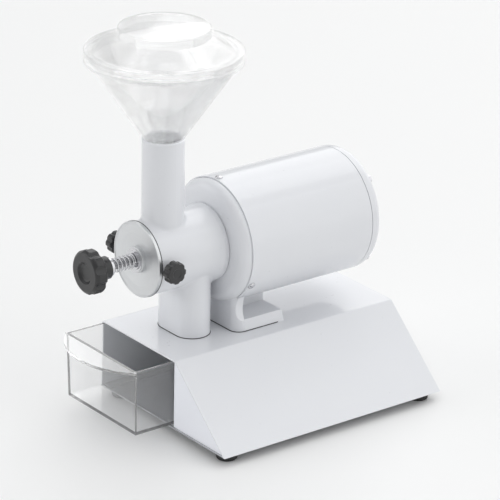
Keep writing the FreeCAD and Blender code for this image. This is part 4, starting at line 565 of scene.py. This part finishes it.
def makeSlotCutter(name):
    # a bar centred on the head's top, so that half of its height cuts the slot
    bar = (shellScrew["slotLength"], shellScrew["slotWidth"], 2 * shellScrew["slotDepth"])
    turn = Matrix.Rotation(shellScrew["slotTurn"], 3, "Z")
    shape = bmesh.new()
    bmesh.ops.create_cube(shape, size=1 / perMetre)
    bmesh.ops.scale(shape, vec=bar, verts=shape.verts)
    bmesh.ops.translate(shape, vec=(0, 0, shellScrew["headHeight"] / perMetre), verts=shape.verts)
    bmesh.ops.rotate(shape, cent=(0, 0, 0), matrix=turn, verts=shape.verts)
    mesh = bpy.data.meshes.new(name)
    shape.to_mesh(mesh)
    shape.free()
    cutter = bpy.data.objects.new(name, mesh)
    bpy.context.scene.collection.objects.link(cutter)
    return cutter


def makeScrewHead(name):
    # a domed head with one slot, its seat at the origin and its shank below
    radius = shellScrew["headRadius"]
    shank = shellScrew["shankRadius"]
    foot = -shellScrew["shankLength"]
    edge = shellScrew["headHeight"] * shellScrew["edgeShare"]
    dome = shellScrew["headHeight"] - edge
    profile = [(0, foot), (shank, foot), (shank, 0), (radius, 0), (radius, edge)]
    for step in range(1, shellScrew["domeSteps"]):
        angle = math.pi / 2 * step / shellScrew["domeSteps"]
        across = radius * math.cos(angle) ** shellScrew["domeCurve"]
        profile.append((across, edge + dome * math.sin(angle)))
    profile.append((0, shellScrew["headHeight"]))
    head = bpy.data.objects.new(name, lathe(name, inMetres(profile), shellScrew["steps"]))
    bpy.context.scene.collection.objects.link(head)
    cutter = makeSlotCutter(name + "Slot")
    cut = head.modifiers.new("slot", "BOOLEAN")
    cut.operation = "DIFFERENCE"
    cut.solver = "EXACT"
    cut.object = cutter
    bpy.context.view_layer.update()
    shaped = head.evaluated_get(bpy.context.evaluated_depsgraph_get())
    slotted = bpy.data.meshes.new_from_object(shaped)
    head.modifiers.remove(cut)
    head.data = slotted
    bpy.data.objects.remove(cutter)
    return head


def makeShellScrews():
    head = makeScrewHead("shellScrewHead")
    centre = spot(0, shellScrew["station"], axisHeight)
    seat = (shellScrew["shellRadius"] - shellScrew["sink"]) / perMetre
    sizes = {"Count": shellScrew["count"], "Radius": seat,
             "CentreX": centre.x, "CentreY": centre.y, "CentreZ": centre.z}
    tree, source, output = newTree("screwRing", sizes)
    make = tree.nodes.new
    link = tree.links.new
    circle = make("GeometryNodeMeshCircle")
    link(source.outputs["Count"], circle.inputs["Vertices"])
    link(source.outputs["Radius"], circle.inputs["Radius"])
    place = make("GeometryNodeInputPosition")
    lean = make("FunctionNodeAlignRotationToVector")
    lean.axis = "Z"
    link(place.outputs["Position"], lean.inputs["Vector"])
    headShape = make("GeometryNodeObjectInfo")
    headShape.inputs["Object"].default_value = head
    copies = make("GeometryNodeInstanceOnPoints")
    link(circle.outputs["Mesh"], copies.inputs["Points"])
    link(headShape.outputs["Geometry"], copies.inputs["Instance"])
    link(lean.outputs["Rotation"], copies.inputs["Rotation"])
    upright = make("GeometryNodeTransform")
    upright.inputs["Rotation"].default_value = (math.pi / 2, 0, 0)
    link(copies.outputs["Instances"], upright.inputs["Geometry"])
    # turned so that the ring's first screw is straight up
    ring = shiftTo(tree, source, "Centre", upright.outputs["Geometry"], (0, -math.pi / 2, 0))
    steel = looks["brightSteel"]
    finishTree(tree, output, ring, steel)
    screws = grow("shellScrewRing", tree, sizes, steel, "machine", [head])
    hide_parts("shell_screws")


makeShellScrews()
print("shell screws set")

# painted contact shadow: dark beads round the chute's and the motor bracket's feet on the base's top,
# standing in for the shade line where they meet it
contactShadeBeads = {
    "chuteBead": {"width": 68.0, "length": 40.8, "corner": 20.4, "middle": 61.9, "height": 90.2,
                  "thick": 0.55, "cornerSteps": 14, "roundSteps": 10},
    "bracketBead": {"width": 94.0, "length": 66.0, "corner": 12.0, "middle": 131.0, "height": 90.2,
                    "thick": 0.55, "cornerSteps": 14, "roundSteps": 10},
}


def makeContactShadeBead(name):
    shadeBead = contactShadeBeads[name]
    middle = spot(0, shadeBead["middle"], shadeBead["height"])
    sizes = {"Width": shadeBead["width"] / perMetre, "Length": shadeBead["length"] / perMetre,
             "Corner": shadeBead["corner"] / perMetre, "Thickness": shadeBead["thick"] / perMetre,
             "MiddleX": middle.x, "MiddleY": middle.y, "MiddleZ": middle.z}
    tree, source, output = newTree(name, sizes)
    make = tree.nodes.new
    link = tree.links.new
    outline = make("GeometryNodeCurvePrimitiveQuadrilateral")
    link(source.outputs["Width"], outline.inputs["Width"])
    link(source.outputs["Length"], outline.inputs["Height"])
    corners = make("GeometryNodeFilletCurve")
    corners.mode = "POLY"
    corners.inputs["Count"].default_value = shadeBead["cornerSteps"]
    corners.inputs["Limit Radius"].default_value = True
    link(outline.outputs["Curve"], corners.inputs["Curve"])
    link(source.outputs["Corner"], corners.inputs["Radius"])
    section = make("GeometryNodeCurvePrimitiveCircle")
    section.inputs["Resolution"].default_value = shadeBead["roundSteps"]
    link(source.outputs["Thickness"], section.inputs["Radius"])
    sweep = make("GeometryNodeCurveToMesh")
    link(corners.outputs["Curve"], sweep.inputs["Curve"])
    link(section.outputs["Curve"], sweep.inputs["Profile Curve"])
    laid = shiftTo(tree, source, "Middle", sweep.outputs["Mesh"])
    # the foot rubber's dark colour on the bead is painted shade at the join
    finishTree(tree, output, laid, looks["footRubber"])
    grow(name, tree, sizes, looks["footRubber"], "machine")


# lays each bead of painted contact shade
for name in contactShadeBeads:
    makeContactShadeBead(name)
print("seal beads laid")

# the adjusting screw and its thread; ends are distances back from the base's front face
adjuster = {"outerEnd": -63.0, "innerEnd": 15.0, "rootRadius": 4.35, "crestRadius": 4.98, "pitch": 1.5,
            "threadStart": -60.0, "threadEnd": 12.0, "nubRadius": 3.45, "nubEnd": 16.45,
            "outerChamfer": 0.8, "innerChamfer": 0.6, "rodSteps": 48, "turnSteps": 28, "ridgeSides": 4}


def makeAdjustingRod():
    root = adjuster["rootRadius"]
    outer = adjuster["outerEnd"]
    inner = adjuster["innerEnd"]
    nub = adjuster["nubRadius"]
    profile = [
        (0, outer),
        (root - adjuster["outerChamfer"], outer),
        (root, outer + adjuster["outerChamfer"]),
        (root, inner - adjuster["innerChamfer"]),
        (root - adjuster["innerChamfer"], inner),
        (nub, inner),
        (nub, adjuster["nubEnd"]),
        (0, adjuster["nubEnd"]),
    ]
    rod = lathe("adjustingRod", inMetres(profile), adjuster["rodSteps"])
    rod.transform(shaftTurn)
    piece = newPiece("adjustingRod", rod, looks["brightSteel"])
    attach(piece, "adjuster_knob")
    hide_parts("adjusting_screw")


def makeAdjustingThread():
    length = adjuster["threadEnd"] - adjuster["threadStart"]
    ridgeHeight = adjuster["crestRadius"] - adjuster["rootRadius"]
    sizes = {"Turns": length / adjuster["pitch"], "Radius": adjuster["rootRadius"] / perMetre,
             "Height": length / perMetre, "Ridge": ridgeHeight / perMetre,
             "Lower": adjuster["threadStart"] / perMetre}
    tree, source, output = newTree("threadOnRod", sizes)
    make = tree.nodes.new
    link = tree.links.new
    spiral = make("GeometryNodeCurveSpiral")
    spiral.inputs["Resolution"].default_value = adjuster["turnSteps"]
    link(source.outputs["Turns"], spiral.inputs["Rotations"])
    link(source.outputs["Radius"], spiral.inputs["Start Radius"])
    link(source.outputs["Radius"], spiral.inputs["End Radius"])
    link(source.outputs["Height"], spiral.inputs["Height"])
    ridge = make("GeometryNodeCurvePrimitiveCircle")
    ridge.inputs["Resolution"].default_value = adjuster["ridgeSides"]
    link(source.outputs["Ridge"], ridge.inputs["Radius"])
    sweep = make("GeometryNodeCurveToMesh")
    sweep.inputs["Fill Caps"].default_value = True
    link(spiral.outputs["Curve"], sweep.inputs["Curve"])
    link(ridge.outputs["Curve"], sweep.inputs["Profile Curve"])
    lift = make("ShaderNodeCombineXYZ")
    link(source.outputs["Lower"], lift.inputs["Z"])
    shift = make("GeometryNodeTransform")
    link(sweep.outputs["Mesh"], shift.inputs["Geometry"])
    link(lift.outputs["Vector"], shift.inputs["Translation"])
    steel = looks["brightSteel"]
    finishTree(tree, output, shift.outputs["Geometry"], steel)
    thread = grow("adjustingThread", tree, sizes, steel, "adjuster_knob")
    thread.data.transform(shaftTurn)


makeAdjustingRod()
makeAdjustingThread()
print("adjusting screw threaded")

bpy.context.view_layer.update()
